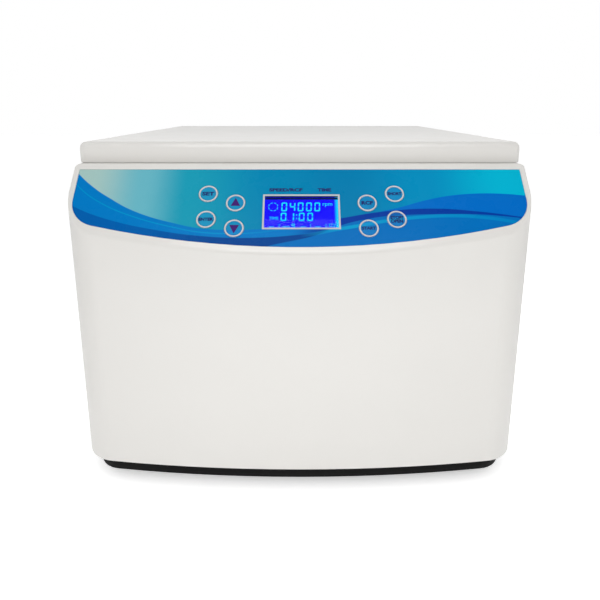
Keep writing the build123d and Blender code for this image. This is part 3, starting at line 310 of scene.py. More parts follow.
def build_panel_print():
    """The overlay's printed waves, worked out from the place on the slope."""
    look = bpy.context.scene.centrifuge_panel
    wiring, given, out = shader_group("panel_print", [("Edge Blur", "NodeSocketFloat", 0.5)],
                                      [("Color", "NodeSocketColor")])
    place = wiring.place()
    across = wiring.add("ShaderNodeSeparateXYZ", {"Vector": place}).outputs["X"]
    side = wiring.remap(across, -HALF_PANEL * MM, HALF_PANEL * MM)
    fall = wiring.add("ShaderNodeVectorMath", {0: place, 1: DOWN}, operation="DOT_PRODUCT").outputs["Value"]
    down = wiring.maths("MULTIPLY", wiring.maths("SUBTRACT", fall, SLOPE_TOP.dot(DOWN)), 1 / MM)

    def edge(name):
        node = wiring.add("ShaderNodeFloatCurve", {"Value": side})
        curve = node.mapping.curves[0]
        points = [((u + HALF_PANEL) / (2 * HALF_PANEL), v / PANEL_DEEP) for u, v in WAVE_EDGES[name]]
        while len(curve.points) < len(points):
            curve.points.new(0.5, 0.5)
        for knot, point in zip(curve.points, points):
            knot.location = point
        node.mapping.update()
        return wiring.maths("MULTIPLY", node.outputs["Value"], PANEL_DEEP)

    def below(name):
        depth = wiring.maths("SUBTRACT", down, edge(name))
        return wiring.maths("ADD", wiring.maths("DIVIDE", depth, given["Edge Blur"]), 0.5, True)

    def ramp(stops):
        node = wiring.add("ShaderNodeValToRGB", {"Fac": side})
        bar = node.color_ramp
        bar.interpolation = "EASE"
        while len(bar.elements) < len(stops):
            bar.elements.new(0.5)
        for element, (spot, colour) in zip(bar.elements, stops):
            element.position = spot
            element.color = tuple(colour)
        return node.outputs["Color"]

    field = ramp(((0.03, look.corner), (0.15, look.pale), (0.25, look.teal), (0.44, look.middle),
                  (0.60, look.shade), (0.78, look.right), (0.96, look.glow)))
    band = ramp(((0.0, look.wave), (0.47, look.wave), (0.56, look.band), (1.0, look.band)))
    colour = wiring.mix(below("crest"), field, look.crest)
    colour = wiring.mix(below("main"), colour, band)
    colour = wiring.mix(below("deep"), colour, ramp(((0.0, look.low), (0.12, look.low), (0.36, look.deep))))
    colour = wiring.mix(below("foot"), colour, look.foot)

    def line(name, half, strength):
        away = wiring.maths("ABSOLUTE", wiring.maths("SUBTRACT", down, edge(name)))
        return wiring.maths("MULTIPLY", wiring.remap(away, half * 1.3, half * 0.7), strength)

    thinning = wiring.remap(side, 0.62, 0.98, 1.0, 0.35)
    rising = wiring.remap(side, 0.5, 0.6)
    right = wiring.maths("MULTIPLY", line("right_line", 1.5, 1.0),
                         wiring.maths("MULTIPLY", thinning, rising))
    left = wiring.maths("MULTIPLY", line("left_line", 0.5, 0.75), wiring.remap(side, 0.5, 0.35))
    colour = wiring.mix(right, colour, look.line)
    colour = wiring.mix(left, colour, look.line)
    wiring.tree.links.new(colour, out.inputs["Color"])


GROUPS = {
    "moulded_grain": build_moulded_grain,
    "brushed_lines": build_brushed_lines,
    "settled_dust": build_settled_dust,
    "panel_print": build_panel_print,
}


def begin(name):
    """A new material with its wiring and its shader joined to the output."""
    mat = bpy.data.materials.new(name)
    mat.use_nodes = True
    wiring = Wiring(mat.node_tree)
    shader = wiring.add("ShaderNodeBsdfPrincipled")
    wiring.add("ShaderNodeOutputMaterial", {"Surface": shader.outputs[0]})
    return mat, wiring, shader


def use(wiring, name, **inputs):
    """One of the shared node groups, placed with its own values."""
    node = wiring.add("ShaderNodeGroup", node_tree=group(name))
    for socket, value in inputs.items():
        node.inputs[socket.replace("_", " ")].default_value = value
    return node.outputs


def bumped(wiring, shader, height, distance, strength=1.0):
    bump = wiring.add("ShaderNodeBump", {"Height": height, "Distance": distance, "Strength": strength})
    wiring.tree.links.new(bump.outputs["Normal"], shader.inputs["Normal"])


def shade(colour, factor):
    """A darker or lighter copy of a colour."""
    return tuple(min(1.0, channel * factor) for channel in colour[:3]) + (1.0,)


def plastic(name, colour, gloss=0.3, coat=0.0, grain=900.0, depth=0.00001, dust=0.0,
            change=0.94, shine=0.5):
    """A moulded plastic with fine grain, slow tone changes and a little dust."""
    mat, wiring, shader = begin(name)
    look = use(wiring, "moulded_grain", Grain_Size=grain)
    base = wiring.mix(look["Tone"], tuple(colour), shade(colour, change))
    if dust:
        film = use(wiring, "settled_dust", Amount=dust)
        base = wiring.mix(film["Mask"], base, (0.42, 0.41, 0.39, 1))
    wiring.tree.links.new(base, shader.inputs["Base Color"])
    rough = wiring.remap(look["Gloss Change"], 0.0, 1.0, gloss, gloss + 0.08)
    wiring.tree.links.new(rough, shader.inputs["Roughness"])
    shader.inputs["Coat Weight"].default_value = coat
    shader.inputs["Coat Roughness"].default_value = 0.12
    shader.inputs["Specular IOR Level"].default_value = shine
    bumped(wiring, shader, look["Height"], depth)
    return mat


def metal(name, colour, rough=0.3, along=(8.0, 900.0, 900.0), round_lines=0.0, depth=0.00001, dust=0.0):
    """A metal with brushed or turned lines."""
    mat, wiring, shader = begin(name)
    look = use(wiring, "brushed_lines", Along=along, Turned=round_lines)
    tone = use(wiring, "moulded_grain", Tone_Size=22.0)
    base = wiring.mix(look["Mask"], tuple(colour), shade(colour, 0.82))
    base = wiring.mix(tone["Tone"], base, shade(colour, 0.93))
    if dust:
        film = use(wiring, "settled_dust", Amount=dust)
        base = wiring.mix(film["Mask"], base, (0.42, 0.41, 0.39, 1))
    wiring.tree.links.new(base, shader.inputs["Base Color"])
    shader.inputs["Metallic"].default_value = 1.0
    change = wiring.remap(look["Mask"], 0.0, 1.0, rough - 0.06, rough + 0.08)
    wiring.tree.links.new(change, shader.inputs["Roughness"])
    bumped(wiring, shader, look["Height"], depth)
    return mat


def lit(name, colour, strength, glow=None):
    """A lit surface of the display; with a glow it brightens at the right edge, where the lamp sits."""
    mat, wiring, shader = begin(name)
    speck = wiring.remap(wiring.noise(600.0), 0.3, 0.7)
    shown = wiring.mix(speck, tuple(colour), shade(colour, 0.9))
    if glow:
        across = wiring.add("ShaderNodeSeparateXYZ", {"Vector": wiring.place()}).outputs["X"]
        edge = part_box("display_window")[1].x
        shown = wiring.mix(wiring.remap(across, edge - 0.0048, edge - 0.0026), shown, tuple(glow))
    wiring.tree.links.new(shown, shader.inputs["Emission Color"])
    shader.inputs["Base Color"].default_value = shade(colour, 0.05)
    shader.inputs["Emission Strength"].default_value = strength
    shader.inputs["Roughness"].default_value = 0.5
    shader.inputs["Specular IOR Level"].default_value = 0.1
    return mat


def finish(mat, *names):
    """Gives CAD nodes their material."""
    for name in names:
        obj = nodes[name]
        if not obj.material_slots:
            obj.data.materials.append(mat)
        for slot in obj.material_slots:
            slot.material = mat


# ------------------------------------------------------------------ sizes and colours
def tint(name, words, value):
    return bpy.props.FloatVectorProperty(name=name, description=words, subtype="COLOR", size=4,
                                         min=0.0, max=1.0, default=(*value, 1.0))


class CentrifugeShell(bpy.types.PropertyGroup):
    """Colours of the outside."""

    casing: tint("Casing", "Moulded casing", (0.78, 0.765, 0.735))
    lid: tint("Lid", "Moulded lid", (0.77, 0.755, 0.725))
    tray: tint("Tray", "Painted tray under the casing", (0.006, 0.006, 0.006))
    rear: tint("Rear panel", "Powder coat of the rear panel", (0.62, 0.62, 0.60))
    rubber: tint("Rubber", "Feet, boot and mounts", (0.012, 0.012, 0.013))
    grain: bpy.props.FloatProperty(name="Grain", description="Moulded grain, repeats in a metre",
                                   default=900.0, min=50.0)


class CentrifugePanel(bpy.types.PropertyGroup):
    """Colours of the printed overlay, keys and display."""

    corner: tint("Corner", "Upper left corner of the print", (0.38, 0.57, 0.54))
    pale: tint("Pale", "Left part of the print", (0.14, 0.47, 0.56))
    teal: tint("Teal", "Left of the keys", (0.010, 0.33, 0.47))
    middle: tint("Middle", "Round the left keys", (0.0, 0.235, 0.45))
    shade: tint("Shade", "Right of the display", (0.0, 0.205, 0.43))
    right: tint("Right", "Right of the keys", (0.0, 0.27, 0.52))
    glow: tint("Glow", "Upper right corner of the print", (0.0, 0.46, 0.66))
    wave: tint("Wave", "Left wave", (0.0, 0.195, 0.56))
    band: tint("Band", "Dark band of the right wave", (0.001, 0.043, 0.34))
    crest: tint("Crest", "Crest of the right wave", (0.0, 0.15, 0.57))
    low: tint("Low", "Low left corner of the print", (0.0, 0.115, 0.42))
    deep: tint("Deep", "Dark foot of the left wave", (0.0, 0.060, 0.29))
    foot: tint("Foot", "Lower right of the print", (0.0, 0.16, 0.51))
    line: tint("Line", "Thin bright lines", (0.0, 0.34, 0.62))
    ring: tint("Ring", "Rings round the keys", (0.66, 0.62, 0.60))
    legend: tint("Legend", "Printed words", (0.012, 0.02, 0.14))
    arrow: tint("Arrow", "Arrows on the two middle keys", (0.055, 0.01, 0.16))
    backlight: tint("Backlight", "Lit ground of the display", (0.004, 0.0, 1.0))
    digit: tint("Digit", "Lit digits", (0.0, 0.75, 1.0))
    digit_slant: bpy.props.FloatProperty(name="Digit slant", description="Lean of the display's digits",
                                         default=radians(2), subtype="ANGLE")


class CentrifugeInside(bpy.types.PropertyGroup):
    """Colours of the chamber, rotor, drive and electronics."""

    bowl: tint("Bowl", "Stainless chamber", (0.56, 0.57, 0.58))
    zinc: tint("Zinc", "Plated steel", (0.50, 0.51, 0.52))
    dark_steel: tint("Dark steel", "Guard ring and laminations", (0.13, 0.135, 0.14))
    alloy: tint("Alloy", "Machined rotor parts", (0.66, 0.67, 0.69))
    cast: tint("Cast", "Motor casing", (0.45, 0.46, 0.47))
    board: tint("Board", "Circuit boards", (0.008, 0.085, 0.028))
    winding: tint("Winding", "Enamelled wire", (0.34, 0.10, 0.03))
    brass: tint("Brass", "Contact blades", (0.60, 0.44, 0.17))
    seal: tint("Seal", "Chamber seal", (0.10, 0.10, 0.105))


class CentrifugeStage(bpy.types.PropertyGroup):
    """Camera and light."""

    lens: bpy.props.FloatProperty(name="Lens", description="Focal length in millimetres",
                                  default=31.84, min=5.0)
    place: bpy.props.FloatVectorProperty(name="Camera", description="Camera's place", subtype="TRANSLATION",
                                         default=(0.0003, -0.6766, 0.3443))
    tilt: bpy.props.FloatProperty(name="Tilt", description="How far the camera looks down",
                                  default=radians(12.94), subtype="ANGLE")
    shift: bpy.props.FloatProperty(name="Shift", description="Vertical lens shift", default=-0.118)
    sky: bpy.props.FloatProperty(name="Surround", description="Brightness of the surround",
                                 default=1.0, min=0.0)
    front: bpy.props.FloatProperty(name="Front", description="Share of the surround's light from the front",
                                   default=0.0, min=0.0, max=1.0, subtype="FACTOR")
    zenith: bpy.props.FloatProperty(name="Overhead", description="Brightness straight overhead",
                                    default=0.45, min=0.0)
    side_power: bpy.props.FloatProperty(name="Side softboxes", description="Power in watts",
                                        default=0.08, min=0.0)
    high_power: bpy.props.FloatProperty(name="High softbox", description="Power in watts",
                                        default=4.4, min=0.0)
    bounce_power: bpy.props.FloatProperty(name="Low bounce", description="Power in watts",
                                          default=0.2, min=0.0)
    floor_lift: bpy.props.FloatProperty(name="Floor lift", description="Glow of the floor sheet",
                                        default=0.3, min=0.0)


GROUP_NAMES = {
    "centrifuge_shell": CentrifugeShell,
    "centrifuge_panel": CentrifugePanel,
    "centrifuge_inside": CentrifugeInside,
    "centrifuge_stage": CentrifugeStage,
}


# ------------------------------------------------------------------ one operator for each group of pieces
class CENTRIFUGE_OT_shell(bpy.types.Operator):
    """Finishes the casing, lid, tray and feet"""

    bl_idname = "centrifuge.shell"
    bl_label = "Casing and lid"

    def execute(self, context):
        look = context.scene.centrifuge_shell
        finish(plastic("casing_white", look.casing, 0.30, 0.25, look.grain, 0.000004, change=0.985),
               "housing")
        finish(plastic("lid_white", look.lid, 0.32, 0.25, look.grain, 0.000004, change=0.985), "lid_cover")
        finish(plastic("tray_black_paint", look.tray, 0.55, 0.0, 1600.0, 0.00001, shine=0.12), "base_tray")
        finish(plastic("foot_rubber", look.rubber, 0.75, 0.0, 700.0, 0.00002, dust=0.25), "rubber_feet")
        return {"FINISHED"}


class CENTRIFUGE_OT_overlay(bpy.types.Operator):
    """Prints the control overlay"""

    bl_idname = "centrifuge.overlay"
    bl_label = "Printed overlay"

    def execute(self, context):
        mat, wiring, shader = begin("overlay_print")
        wiring.tree.links.new(use(wiring, "panel_print")["Color"], shader.inputs["Base Color"])
        grain = use(wiring, "moulded_grain", Grain_Size=PRINT_GRAIN)
        rough = wiring.remap(grain["Gloss Change"], 0.0, 1.0, 0.24, 0.32)
        wiring.tree.links.new(rough, shader.inputs["Roughness"])
        shader.inputs["Specular IOR Level"].default_value = 0.05
        bumped(wiring, shader, grain["Height"], 0.000004)
        finish(mat, "control_overlay")
        film = plastic("circuit_film", (0.30, 0.22, 0.05, 1), 0.4)
        finish(film, "membrane_circuit")
        return {"FINISHED"}


class CENTRIFUGE_OT_keys(bpy.types.Operator):
    """Adds a domed cap, a raised ring and a legend to every key"""

    bl_idname = "centrifuge.keys"
    bl_label = "Keys"

    # The word on each key with its width and height in millimetres; the other two keys have arrows
    legends = {"key_set": ("SET", 10.4, 3.9), "key_enter": ("ENTER", 12.4, 3.1),
               "key_mode": ("RCF", 10.0, 3.8), "key_start": ("START", 11.8, 3.1),
               "key_short": ("SHORT", 12.0, 3.1), "key_stop": ("STOP/\nOPEN", 10.8, 6.8)}

    def execute(self, context):
        look = context.scene.centrifuge_panel
        cap, wiring, shader = begin("key_print")
        ground = use(wiring, "panel_print")["Color"]
        grain = use(wiring, "moulded_grain", Grain_Size=PRINT_GRAIN)
        tint = wiring.remap(grain["Tone"], 0.0, 1.0, 0.34, 0.42)
        tinted = wiring.mix(tint, ground, (0.02, 0.27, 0.62, 1))
        wiring.tree.links.new(tinted, shader.inputs["Base Color"])
        shader.inputs["Roughness"].default_value = 0.34
        shader.inputs["Specular IOR Level"].default_value = 0.06
        bumped(wiring, shader, grain["Height"], 0.000004)
        ring = plastic("key_ring_print", look.ring, 0.4, 0.0, PRINT_GRAIN, 0.000004)
        ink = plastic("legend_ink", look.legend, 0.45, 0.0, PRINT_GRAIN, 0.000002, shine=0.1)
        arrow_ink = plastic("arrow_ink", look.arrow, 0.45, 0.0, PRINT_GRAIN, 0.000002, shine=0.1)
        finish(cap, *KEYS)
        ring_profile = ((6.72, -0.02), (6.78, 0.24), (6.95, 0.36), (7.5, 0.41), (8.1, 0.36), (8.3, 0.24),
                        (8.36, -0.02))
        cap_radius, cap_steps = 6.74, 10
        cap_profile = [(cap_radius * k / cap_steps, 0.04 + 0.2 * cos(pi / 2 * k / cap_steps))
                       for k in range(cap_steps + 1)]
        cap_profile += [(cap_radius, -0.02), (0, -0.02)]
        for name in KEYS:
            across, down = slope_place(name)
            place = on_slope(across, down)
            piece(name + "_ring", turned(name + "_ring", ring_profile, 72), ring, name, place)
            piece(name + "_cap", turned(name + "_cap", cap_profile, 72), cap, name, place)
            top = on_slope(across, down, FILM_FRONT + 0.2)
            if name in self.legends:
                words, wide, tall = self.legends[name]
                mesh = lettering(name + "_legend", words, wide, tall, 0.08, 0.05)
                piece(name + "_legend", mesh, ink, name, top)
                continue
            turn = 1 if name == "key_up" else -1
            bm = bmesh.new()
            slab(bm, [(-4.1 * turn, -3.0 * turn), (4.1 * turn, -3.0 * turn), (0, 5.0 * turn)], 0, 0.08)
            piece(name + "_legend", to_mesh(bm, name + "_legend", False), arrow_ink, name, top)
        for name, word, wide, across in (("label_speed", "SPEED/RCF", 29.0, -12.0),
                                         ("label_time", "TIME", 11.8, 21.5)):
            mesh = lettering(name, word, wide, 3.4, 0.05, 0.05)
            piece(name, mesh, ink, "casing", on_slope(across, 27.2, FILM_FRONT - 0.01))
        return {"FINISHED"}


# The strokes each digit lights, in the order top, upper right, lower right, foot, lower left, upper left, middle
STROKES = {"0": "abcdef", "1": "bc", "4": "bcfg", "9": "abcdfg"}


class CENTRIFUGE_OT_display(bpy.types.Operator):
    """Builds the lit display with its digits and border"""

    bl_idname = "centrifuge.display"
    bl_label = "Display"

    def digit(self, bm, sign, x, y, wide, tall, slant):
        """Adds one seven-stroke digit about its middle."""
        line = wide * 0.21
        half, quarter = tall / 2, tall / 4
        bars = {
            "a": (0, half - line / 2, wide - line * 1.2, line),
            "d": (0, -half + line / 2, wide - line * 1.2, line),
            "g": (0, 0, wide - line * 1.2, line),
            "b": (wide / 2 - line / 2, quarter, line, half - line * 1.1),
            "c": (wide / 2 - line / 2, -quarter, line, half - line * 1.1),
            "f": (-wide / 2 + line / 2, quarter, line, half - line * 1.1),
            "e": (-wide / 2 + line / 2, -quarter, line, half - line * 1.1),
        }
        for stroke in STROKES[sign]:
            corners = rectangle(*bars[stroke])
            slab(bm, [(x + cx + cy * slant, y + cy) for cx, cy in corners], 0, 0.04)

    def execute(self, context):
        look = context.scene.centrifuge_panel
        middle, down = slope_place("display_window")
        ground = lit("display_backlight", look.backlight, 1.0, (0.0, 0.62, 1.0, 1.0))
        digits = lit("display_digit", look.digit, 1.1)
        border = plastic("display_border_print", (0.56, 0.57, 0.57, 1), 0.4, 0.0, PRINT_GRAIN, 0.000004)
        dark = plastic("display_rim_dark", (0.0, 0.012, 0.09, 1), 0.5, shine=0.1)
        glass, wiring, shader = begin("window_clear")
        shader.inputs["Transmission Weight"].default_value = 1.0
        shader.inputs["Roughness"].default_value = 0.03
        shader.inputs["IOR"].default_value = 1.12
        smear = use(wiring, "moulded_grain", Tone_Size=40.0)
        wiring.tree.links.new(wiring.mix(smear["Tone"], (1, 1, 1, 1), (0.94, 0.96, 1, 1)),
                              shader.inputs["Base Color"])
        finish(glass, "display_window")
        finish(plastic("display_module_black", (0.02, 0.02, 0.025, 1), 0.4), "display_module")

        face = DISPLAY_FACE + 0.02
        bm = bmesh.new()
        slab(bm, rectangle(0, -0.2, 63.0, 31.4), 0, 0.06)
        piece("display_ground", to_mesh(bm, "display_ground", False), ground, "casing",
              on_slope(middle, down, face))
        bm = bmesh.new()
        slab(bm, rectangle(0, 14.0, 62.6, 2.2), 0, 0.03)
        piece("display_top_strip", to_mesh(bm, "display_top_strip", False), dark, "casing",
              on_slope(middle, down, face + 0.07))

        # Marks are placed from the display's middle, across and up, in millimetres
        lean = look.digit_slant
        mark_depth = 0.04
        bm = bmesh.new()
        for sign, x in zip("04000", (-14.7, -7.6, -0.7, 6.5, 13.6)):
            self.digit(bm, sign, x, 5.6, 4.8, 8.6, lean)
        for sign, x in zip("0100", (-15.2, -8.6, 0.2, 7.4)):
            self.digit(bm, sign, x, -4.2, 4.8, 7.8, lean)
        for y in (-2.4, -5.8):
            slab(bm, rectangle(-4.1, y, 0.9, 1.1), 0, mark_depth)
        for sign, x in zip("1911", (-19.8, -7.0, 6.6, 19.6)):
            self.digit(bm, sign, x, -13.0, 2.6, 4.2, lean)
        for k in range(8):
            middle_angle = 2 * pi * (k + 0.5) / 8
            arc = [(-24.2 + r * cos(middle_angle + t), 5.6 + r * sin(middle_angle + t))
                   for r, turns in ((3.7, (-0.24, 0.0, 0.24)), (4.2, (0.24, 0.0, -0.24))) for t in turns]
            slab(bm, arc, 0, mark_depth)
        slab(bm, rectangle(25.6, -13.4, 4.6, 0.35), 0, mark_depth)
        slab(bm, rectangle(25.6, -11.2, 4.6, 0.35), 0, mark_depth)
        for x in (23.5, 27.7):
            slab(bm, rectangle(x, -12.3, 0.35, 1.9), 0, mark_depth)
        piece("display_digits", to_mesh(bm, "display_digits", False), digits, "casing",
              on_slope(middle, down, face + 0.08))
        small = (("display_rpm", "rpm", 8.2, 3.6, 22.4, 7.4),
                 ("display_time", "TIME", 7.6, 2.6, -23.4, -5.6),
                 ("display_no", "NO.", 4.6, 2.0, -24.8, -14.1),
                 ("display_prog", "PROG", 6.0, 2.0, -12.6, -14.1),
                 ("display_acc", "ACC", 4.6, 2.0, 1.4, -14.1),
                 ("display_dec", "DEC", 4.6, 2.0, 14.2, -14.1))
        for name, word, wide, tall, x, y in small:
            mesh = lettering(name, word, wide, tall, mark_depth, 0.0)
            piece(name, mesh, digits, "casing", on_slope(middle + x, down - y, face + 0.08))

        bm = bmesh.new()
        width, height, rim = 66.0, 34.0, 1.5
        for x, y, wide, tall in ((0, height / 2 - rim / 2, width, rim),
                                 (0, -height / 2 + rim / 2, width, rim),
                                 (width / 2 - rim / 2, 0, rim, height - 2 * rim),
                                 (-width / 2 + rim / 2, 0, rim, height - 2 * rim)):
            slab(bm, rectangle(x, y, wide, tall), 0, 0.14)
        piece("display_border", to_mesh(bm, "display_border", False), border, "casing",
              on_slope(middle, down, FILM_FRONT + 0.01))
        return {"FINISHED"}


class CENTRIFUGE_OT_chamber(bpy.types.Operator):
    """Finishes the chamber, its seal, frame and guard"""

    bl_idname = "centrifuge.chamber"
    bl_label = "Chamber"

    def execute(self, context):
        look = context.scene.centrifuge_inside
        finish(metal("bowl_brushed", look.bowl, 0.24, (2200.0, 900.0, 1.0), 1.0, 0.000006), "chamber_bowl")
        finish(plastic("seal_rubber", look.seal, 0.62, 0.0, 700.0, 0.00001), "chamber_seal")
        finish(metal("guard_steel", look.dark_steel, 0.42, (60.0, 60.0, 1500.0)), "guard_ring")
        finish(metal("frame_zinc", look.zinc, 0.36, (30.0, 400.0, 400.0)), "chamber_frame", "motor_plate")
        rubber = plastic("mount_rubber", context.scene.centrifuge_shell.rubber, 0.7, 0.0, 500.0, 0.00003)
        finish(rubber, "bowl_pad", "vibration_dampers", "shaft_boot")
        return {"FINISHED"}


class CENTRIFUGE_OT_rotor(bpy.types.Operator):
    """Finishes the rotor and motor, and numbers the bucket places"""

    bl_idname = "centrifuge.rotor"
    bl_label = "Rotor and motor"

    def execute(self, context):
        look = context.scene.centrifuge_inside
        finish(metal("yoke_machined", look.alloy, 0.30, (700.0, 700.0, 40.0)), "rotor_yoke")
        finish(metal("nut_turned", look.alloy, 0.26, (1500.0, 900.0, 1.0), 1.0), "rotor_nut")
        finish(metal("bucket_spun", look.alloy, 0.34, (40.0, 40.0, 1600.0)),
               *(f"bucket_{n}" for n in range(1, 5)))
        finish(metal("shaft_ground", look.bowl, 0.16, (20.0, 20.0, 2500.0)),
               "motor_shaft", "motor_bearings")
        finish(metal("motor_cast", look.cast, 0.5, (240.0, 240.0, 240.0), depth=0.00006), "motor_can")
        finish(metal("laminations", look.dark_steel, 0.4, (20.0, 20.0, 3000.0)), "motor_rotor")
        finish(metal("winding_wire", look.winding, 0.4, (20.0, 20.0, 2200.0), depth=0.00004),
               "motor_stator")
        ink = plastic("number_ink", (0.02, 0.02, 0.03, 1), 0.5)
        low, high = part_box("rotor_yoke")
        middle = (low + high) / 2
        number_out, number_aside = 0.070, -0.030  # along and beside each arm, from the axis
        for number in range(4):
            turn = Matrix.Rotation(pi / 2 * number, 4, "Z")
            mesh = lettering(f"place_number_{number + 1}", str(number + 1), 3.0, 4.4, 0.08)
            spot = Matrix.Translation((middle.x, middle.y, high.z)) @ turn
            out_along = Matrix.Translation((number_out, number_aside, 0)) @ Matrix.Rotation(pi / 2, 4, "Z")
            piece(f"place_number_{number + 1}", mesh, ink, "rotor", spot @ out_along)
        return {"FINISHED"}


class CENTRIFUGE_OT_lid(bpy.types.Operator):
    """Finishes the lid's inside, hinges and lock"""

    bl_idname = "centrifuge.lid"
    bl_label = "Lid, hinges and lock"

    def execute(self, context):
        look = context.scene.centrifuge_inside
        finish(plastic("liner_grey", (0.58, 0.58, 0.57, 1), 0.4, 0.0, 500.0, 0.00002), "lid_liner")
        low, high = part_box("lid_cover")
        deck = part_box("housing")[1].z
        bm = bmesh.new()
        outer_inset, inner_inset = 0.0006, 0.0026
        strip_foot, strip_top = deck + 0.00004, low.z - 0.00002
        for inset in (outer_inset, inner_inset):
            corners = [bm.verts.new((x, y, z)) for z in (strip_foot, strip_top)
                       for x, y in rim_path(low, high, inset, 0.007)]
            half = len(corners) // 2
            for k in range(half):
                after = (k + 1) % half
                bm.faces.new([corners[k], corners[after], corners[half + after], corners[half + k]])
        loops = [list(bm.verts)[k * half:(k + 1) * half] for k in range(4)]
        for outer, inner in ((loops[0], loops[2]), (loops[1], loops[3])):
            for k in range(half):
                after = (k + 1) % half
                bm.faces.new([outer[k], outer[after], inner[after], inner[k]])
        strip = plastic("strip_grey", (0.60, 0.59, 0.58, 1), 0.6, 0.0, 700.0, 0.00001)
        piece("lid_edge_strip", to_mesh(bm, "lid_edge_strip", False), strip, "lid")
        zinc = metal("plated_steel", look.zinc, 0.3, (60.0, 500.0, 500.0))
        finish(zinc, "lid_stiffener", "lid_screws", "lock_frame", "lock_catch", "lid_hinge_leaf",
               "body_hinge_leaf", "case_screws", "fan_guard")
        finish(metal("polished_steel", look.bowl, 0.14, (900.0, 900.0, 20.0)),
               "lid_striker", "lock_plunger", "hinge_pins")
        black = plastic("moulded_black", (0.012, 0.012, 0.013, 1), 0.42, 0.0, 900.0, 0.00001, dust=0.15)
        finish(black, "hinge_dampers", "lock_solenoid", "fan_frame", "fan_rotor", "power_inlet",
               "fuse_drawer", "power_rocker")
        return {"FINISHED"}


class CENTRIFUGE_OT_rear(bpy.types.Operator):
    """Finishes the rear panel, its plate and inlet"""

    bl_idname = "centrifuge.rear"
    bl_label = "Rear panel"

    def execute(self, context):
        shell, look = context.scene.centrifuge_shell, context.scene.centrifuge_inside
        finish(plastic("rear_powder_coat", shell.rear, 0.5, 0.0, 650.0, 0.00006, dust=0.1), "rear_panel")
        finish(metal("blade_brass", look.brass, 0.25, (900.0, 20.0, 900.0)), "inlet_pins")
        plate, wiring, shader = begin("plate_print")
        parts = wiring.add("ShaderNodeSeparateXYZ", {"Vector": wiring.place()}).outputs
        low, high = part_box("rating_plate")
        middle = (low + high) / 2
        half_pitch, ink_edge, blank_edge = 0.003, 0.0003, 0.0005
        half_wide = high.x - middle.x
        step = wiring.maths("PINGPONG", wiring.maths("SUBTRACT", parts["Z"], low.z), half_pitch)
        ruled = wiring.remap(step, ink_edge, blank_edge, 1.0, 0.0)
        off = wiring.maths("ABSOLUTE", wiring.maths("SUBTRACT", parts["X"], middle.x))
        inside = wiring.remap(off, half_wide * 0.88, half_wide * 0.9, 1.0, 0.0)
        marks = wiring.maths("MULTIPLY", ruled, inside)
        wiring.tree.links.new(wiring.mix(marks, (0.60, 0.60, 0.58, 1), (0.05, 0.05, 0.05, 1)),
                              shader.inputs["Base Color"])
        lines = use(wiring, "brushed_lines")
        rough = wiring.remap(lines["Mask"], 0.0, 1.0, 0.3, 0.45)
        wiring.tree.links.new(rough, shader.inputs["Roughness"])
        finish(plate, "rating_plate")
        return {"FINISHED"}


class CENTRIFUGE_OT_electronics(bpy.types.Operator):
    """Finishes the boards and transformer"""

    bl_idname = "centrifuge.electronics"
    bl_label = "Electronics"

    def execute(self, context):
        look = context.scene.centrifuge_inside
        board, wiring, shader = begin("board_tracks")
        cells = wiring.add("ShaderNodeTexVoronoi", {"Vector": wiring.place(), "Scale": 160.0},
                           distance="MANHATTAN")
        tracks = wiring.remap(cells.outputs["Distance"], 0.25, 0.3)
        base = wiring.mix(tracks, tuple(look.board), (0.03, 0.2, 0.07, 1))
        wiring.tree.links.new(base, shader.inputs["Base Color"])
        wiring.tree.links.new(wiring.remap(tracks, 0.0, 1.0, 0.3, 0.42), shader.inputs["Roughness"])
        finish(board, "control_board", "drive_board")
        finish(metal("core_steel", look.dark_steel, 0.45, (2500.0, 20.0, 20.0)), "power_transformer")
        return {"FINISHED"}


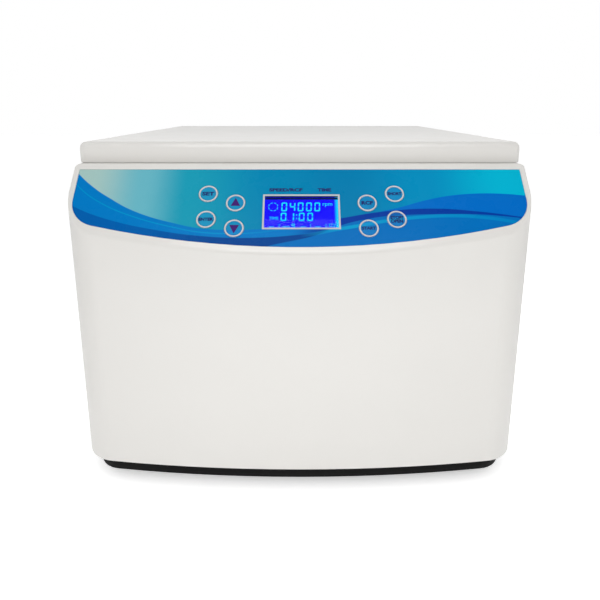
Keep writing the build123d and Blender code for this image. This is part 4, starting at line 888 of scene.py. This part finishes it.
class CENTRIFUGE_OT_stage(bpy.types.Operator):
    """Sets the floor, soft lights and camera"""

    bl_idname = "centrifuge.stage"
    bl_label = "Stage"

    def execute(self, context):
        scene = context.scene
        look = scene.centrifuge_stage
        bm = bmesh.new()
        floor_reach, lift_in_view = 6.0, 0.25
        bmesh.ops.create_grid(bm, x_segments=4, y_segments=4, size=floor_reach)
        mesh = to_mesh(bm, "studio_floor", False)
        mat, wiring, shader = begin("floor_pale")
        cloud = wiring.remap(wiring.noise(1.5), 0.3, 0.7)
        wiring.tree.links.new(wiring.mix(cloud, (0.97, 0.97, 0.968, 1), (0.955, 0.955, 0.953, 1)),
                              shader.inputs["Base Color"])
        shader.inputs["Roughness"].default_value = 0.75
        shader.inputs["Emission Color"].default_value = (1, 1, 1, 1)
        seen = wiring.add("ShaderNodeLightPath").outputs["Is Camera Ray"]
        lift = wiring.remap(seen, 0.0, 1.0, look.floor_lift, look.floor_lift + lift_in_view)
        wiring.tree.links.new(lift, shader.inputs["Emission Strength"])
        mesh.materials.append(mat)
        floor = bpy.data.objects.new("studio_floor", mesh)
        scene.collection.objects.link(floor)

        world = bpy.data.worlds.new("surround")
        world.use_nodes = True
        scene.world = world
        surround = Wiring(world.node_tree)
        way = surround.add("ShaderNodeTexCoord").outputs["Generated"]
        facing = (0, -0.98, 0.2)  # towards the front of the machine, a little upward
        dim_start, dim_full, fall_start = 0.1, 0.85, 0.3
        ahead = surround.add("ShaderNodeVectorMath", {0: way, 1: facing}, operation="DOT_PRODUCT")
        dimmed = surround.remap(ahead.outputs["Value"], dim_start, dim_full, 1.0, look.front)
        height = surround.add("ShaderNodeSeparateXYZ", {"Vector": way}).outputs["Z"]
        falling = surround.remap(height, fall_start, 1.0, look.sky, look.zenith)
        level = surround.maths("MULTIPLY", dimmed, falling)
        seen = surround.add("ShaderNodeLightPath").outputs["Is Camera Ray"]
        strength = surround.remap(seen, 0.0, 1.0, level, look.sky)
        glow = surround.add("ShaderNodeBackground", {"Color": (1, 1, 1, 1), "Strength": strength})
        surround.add("ShaderNodeOutputWorld", {"Surface": glow.outputs[0]})
        for name, place, aim, size, power in (
            ("softbox_left", (-0.85, -0.65, 0.30), (-0.16, -0.24, 0.16), (0.5, 0.5), look.side_power),
            ("softbox_right", (0.85, -0.65, 0.30), (0.16, -0.24, 0.16), (0.5, 0.5), look.side_power * 1.4),
            ("softbox_high", (0, -0.75, 0.85), (0, -0.22, 0.27), (0.6, 0.6), look.high_power),
            ("bounce_low", (0, -0.50, 0.06), (0, -0.24, 0.02), (0.9, 0.12), look.bounce_power),
        ):
            lamp = bpy.data.lights.new(name, "AREA")
            lamp.shape = "RECTANGLE"
            lamp.size, lamp.size_y = size
            lamp.energy = power
            obj = bpy.data.objects.new(name, lamp)
            scene.collection.objects.link(obj)
            obj.visible_camera = False
            obj.location = place
            obj.rotation_euler = (Vector(aim) - Vector(place)).to_track_quat("-Z", "Y").to_euler()

        view = bpy.data.cameras.new("camera")
        view.lens = look.lens
        view.shift_y = look.shift
        view.clip_start = 0.01
        camera = bpy.data.objects.new("camera", view)
        scene.collection.objects.link(camera)
        camera.location = look.place
        camera.rotation_euler = (pi / 2 - look.tilt, 0, 0)
        scene.camera = camera
        scene.view_settings.view_transform = "Standard"
        return {"FINISHED"}


STEPS = (CENTRIFUGE_OT_shell, CENTRIFUGE_OT_overlay, CENTRIFUGE_OT_keys, CENTRIFUGE_OT_display,
         CENTRIFUGE_OT_chamber, CENTRIFUGE_OT_rotor, CENTRIFUGE_OT_lid, CENTRIFUGE_OT_rear,
         CENTRIFUGE_OT_electronics, CENTRIFUGE_OT_stage)


class CENTRIFUGE_PT_panel(bpy.types.Panel):
    """Lists the centrifuge's steps and looks"""

    bl_idname = "CENTRIFUGE_PT_panel"
    bl_label = "Laboratory centrifuge"
    bl_space_type = "VIEW_3D"
    bl_region_type = "UI"
    bl_category = "Centrifuge"

    def draw(self, context):
        for step in STEPS:
            self.layout.operator(step.bl_idname)
        for name in GROUP_NAMES:
            look = getattr(context.scene, name)
            box = self.layout.box()
            for prop in look.__annotations__:
                box.prop(look, prop)


def register():
    for cls in (*GROUP_NAMES.values(), *STEPS, CENTRIFUGE_PT_panel):
        bpy.utils.register_class(cls)
    for name, cls in GROUP_NAMES.items():
        setattr(bpy.types.Scene, name, bpy.props.PointerProperty(type=cls))


def unregister():
    for name in GROUP_NAMES:
        delattr(bpy.types.Scene, name)
    for cls in reversed((*GROUP_NAMES.values(), *STEPS, CENTRIFUGE_PT_panel)):
        bpy.utils.unregister_class(cls)


def main():
    register()
    for step in STEPS:
        area, action = step.bl_idname.split(".")
        getattr(getattr(bpy.ops, area), action)()


if __name__ == "__main__":
    main()
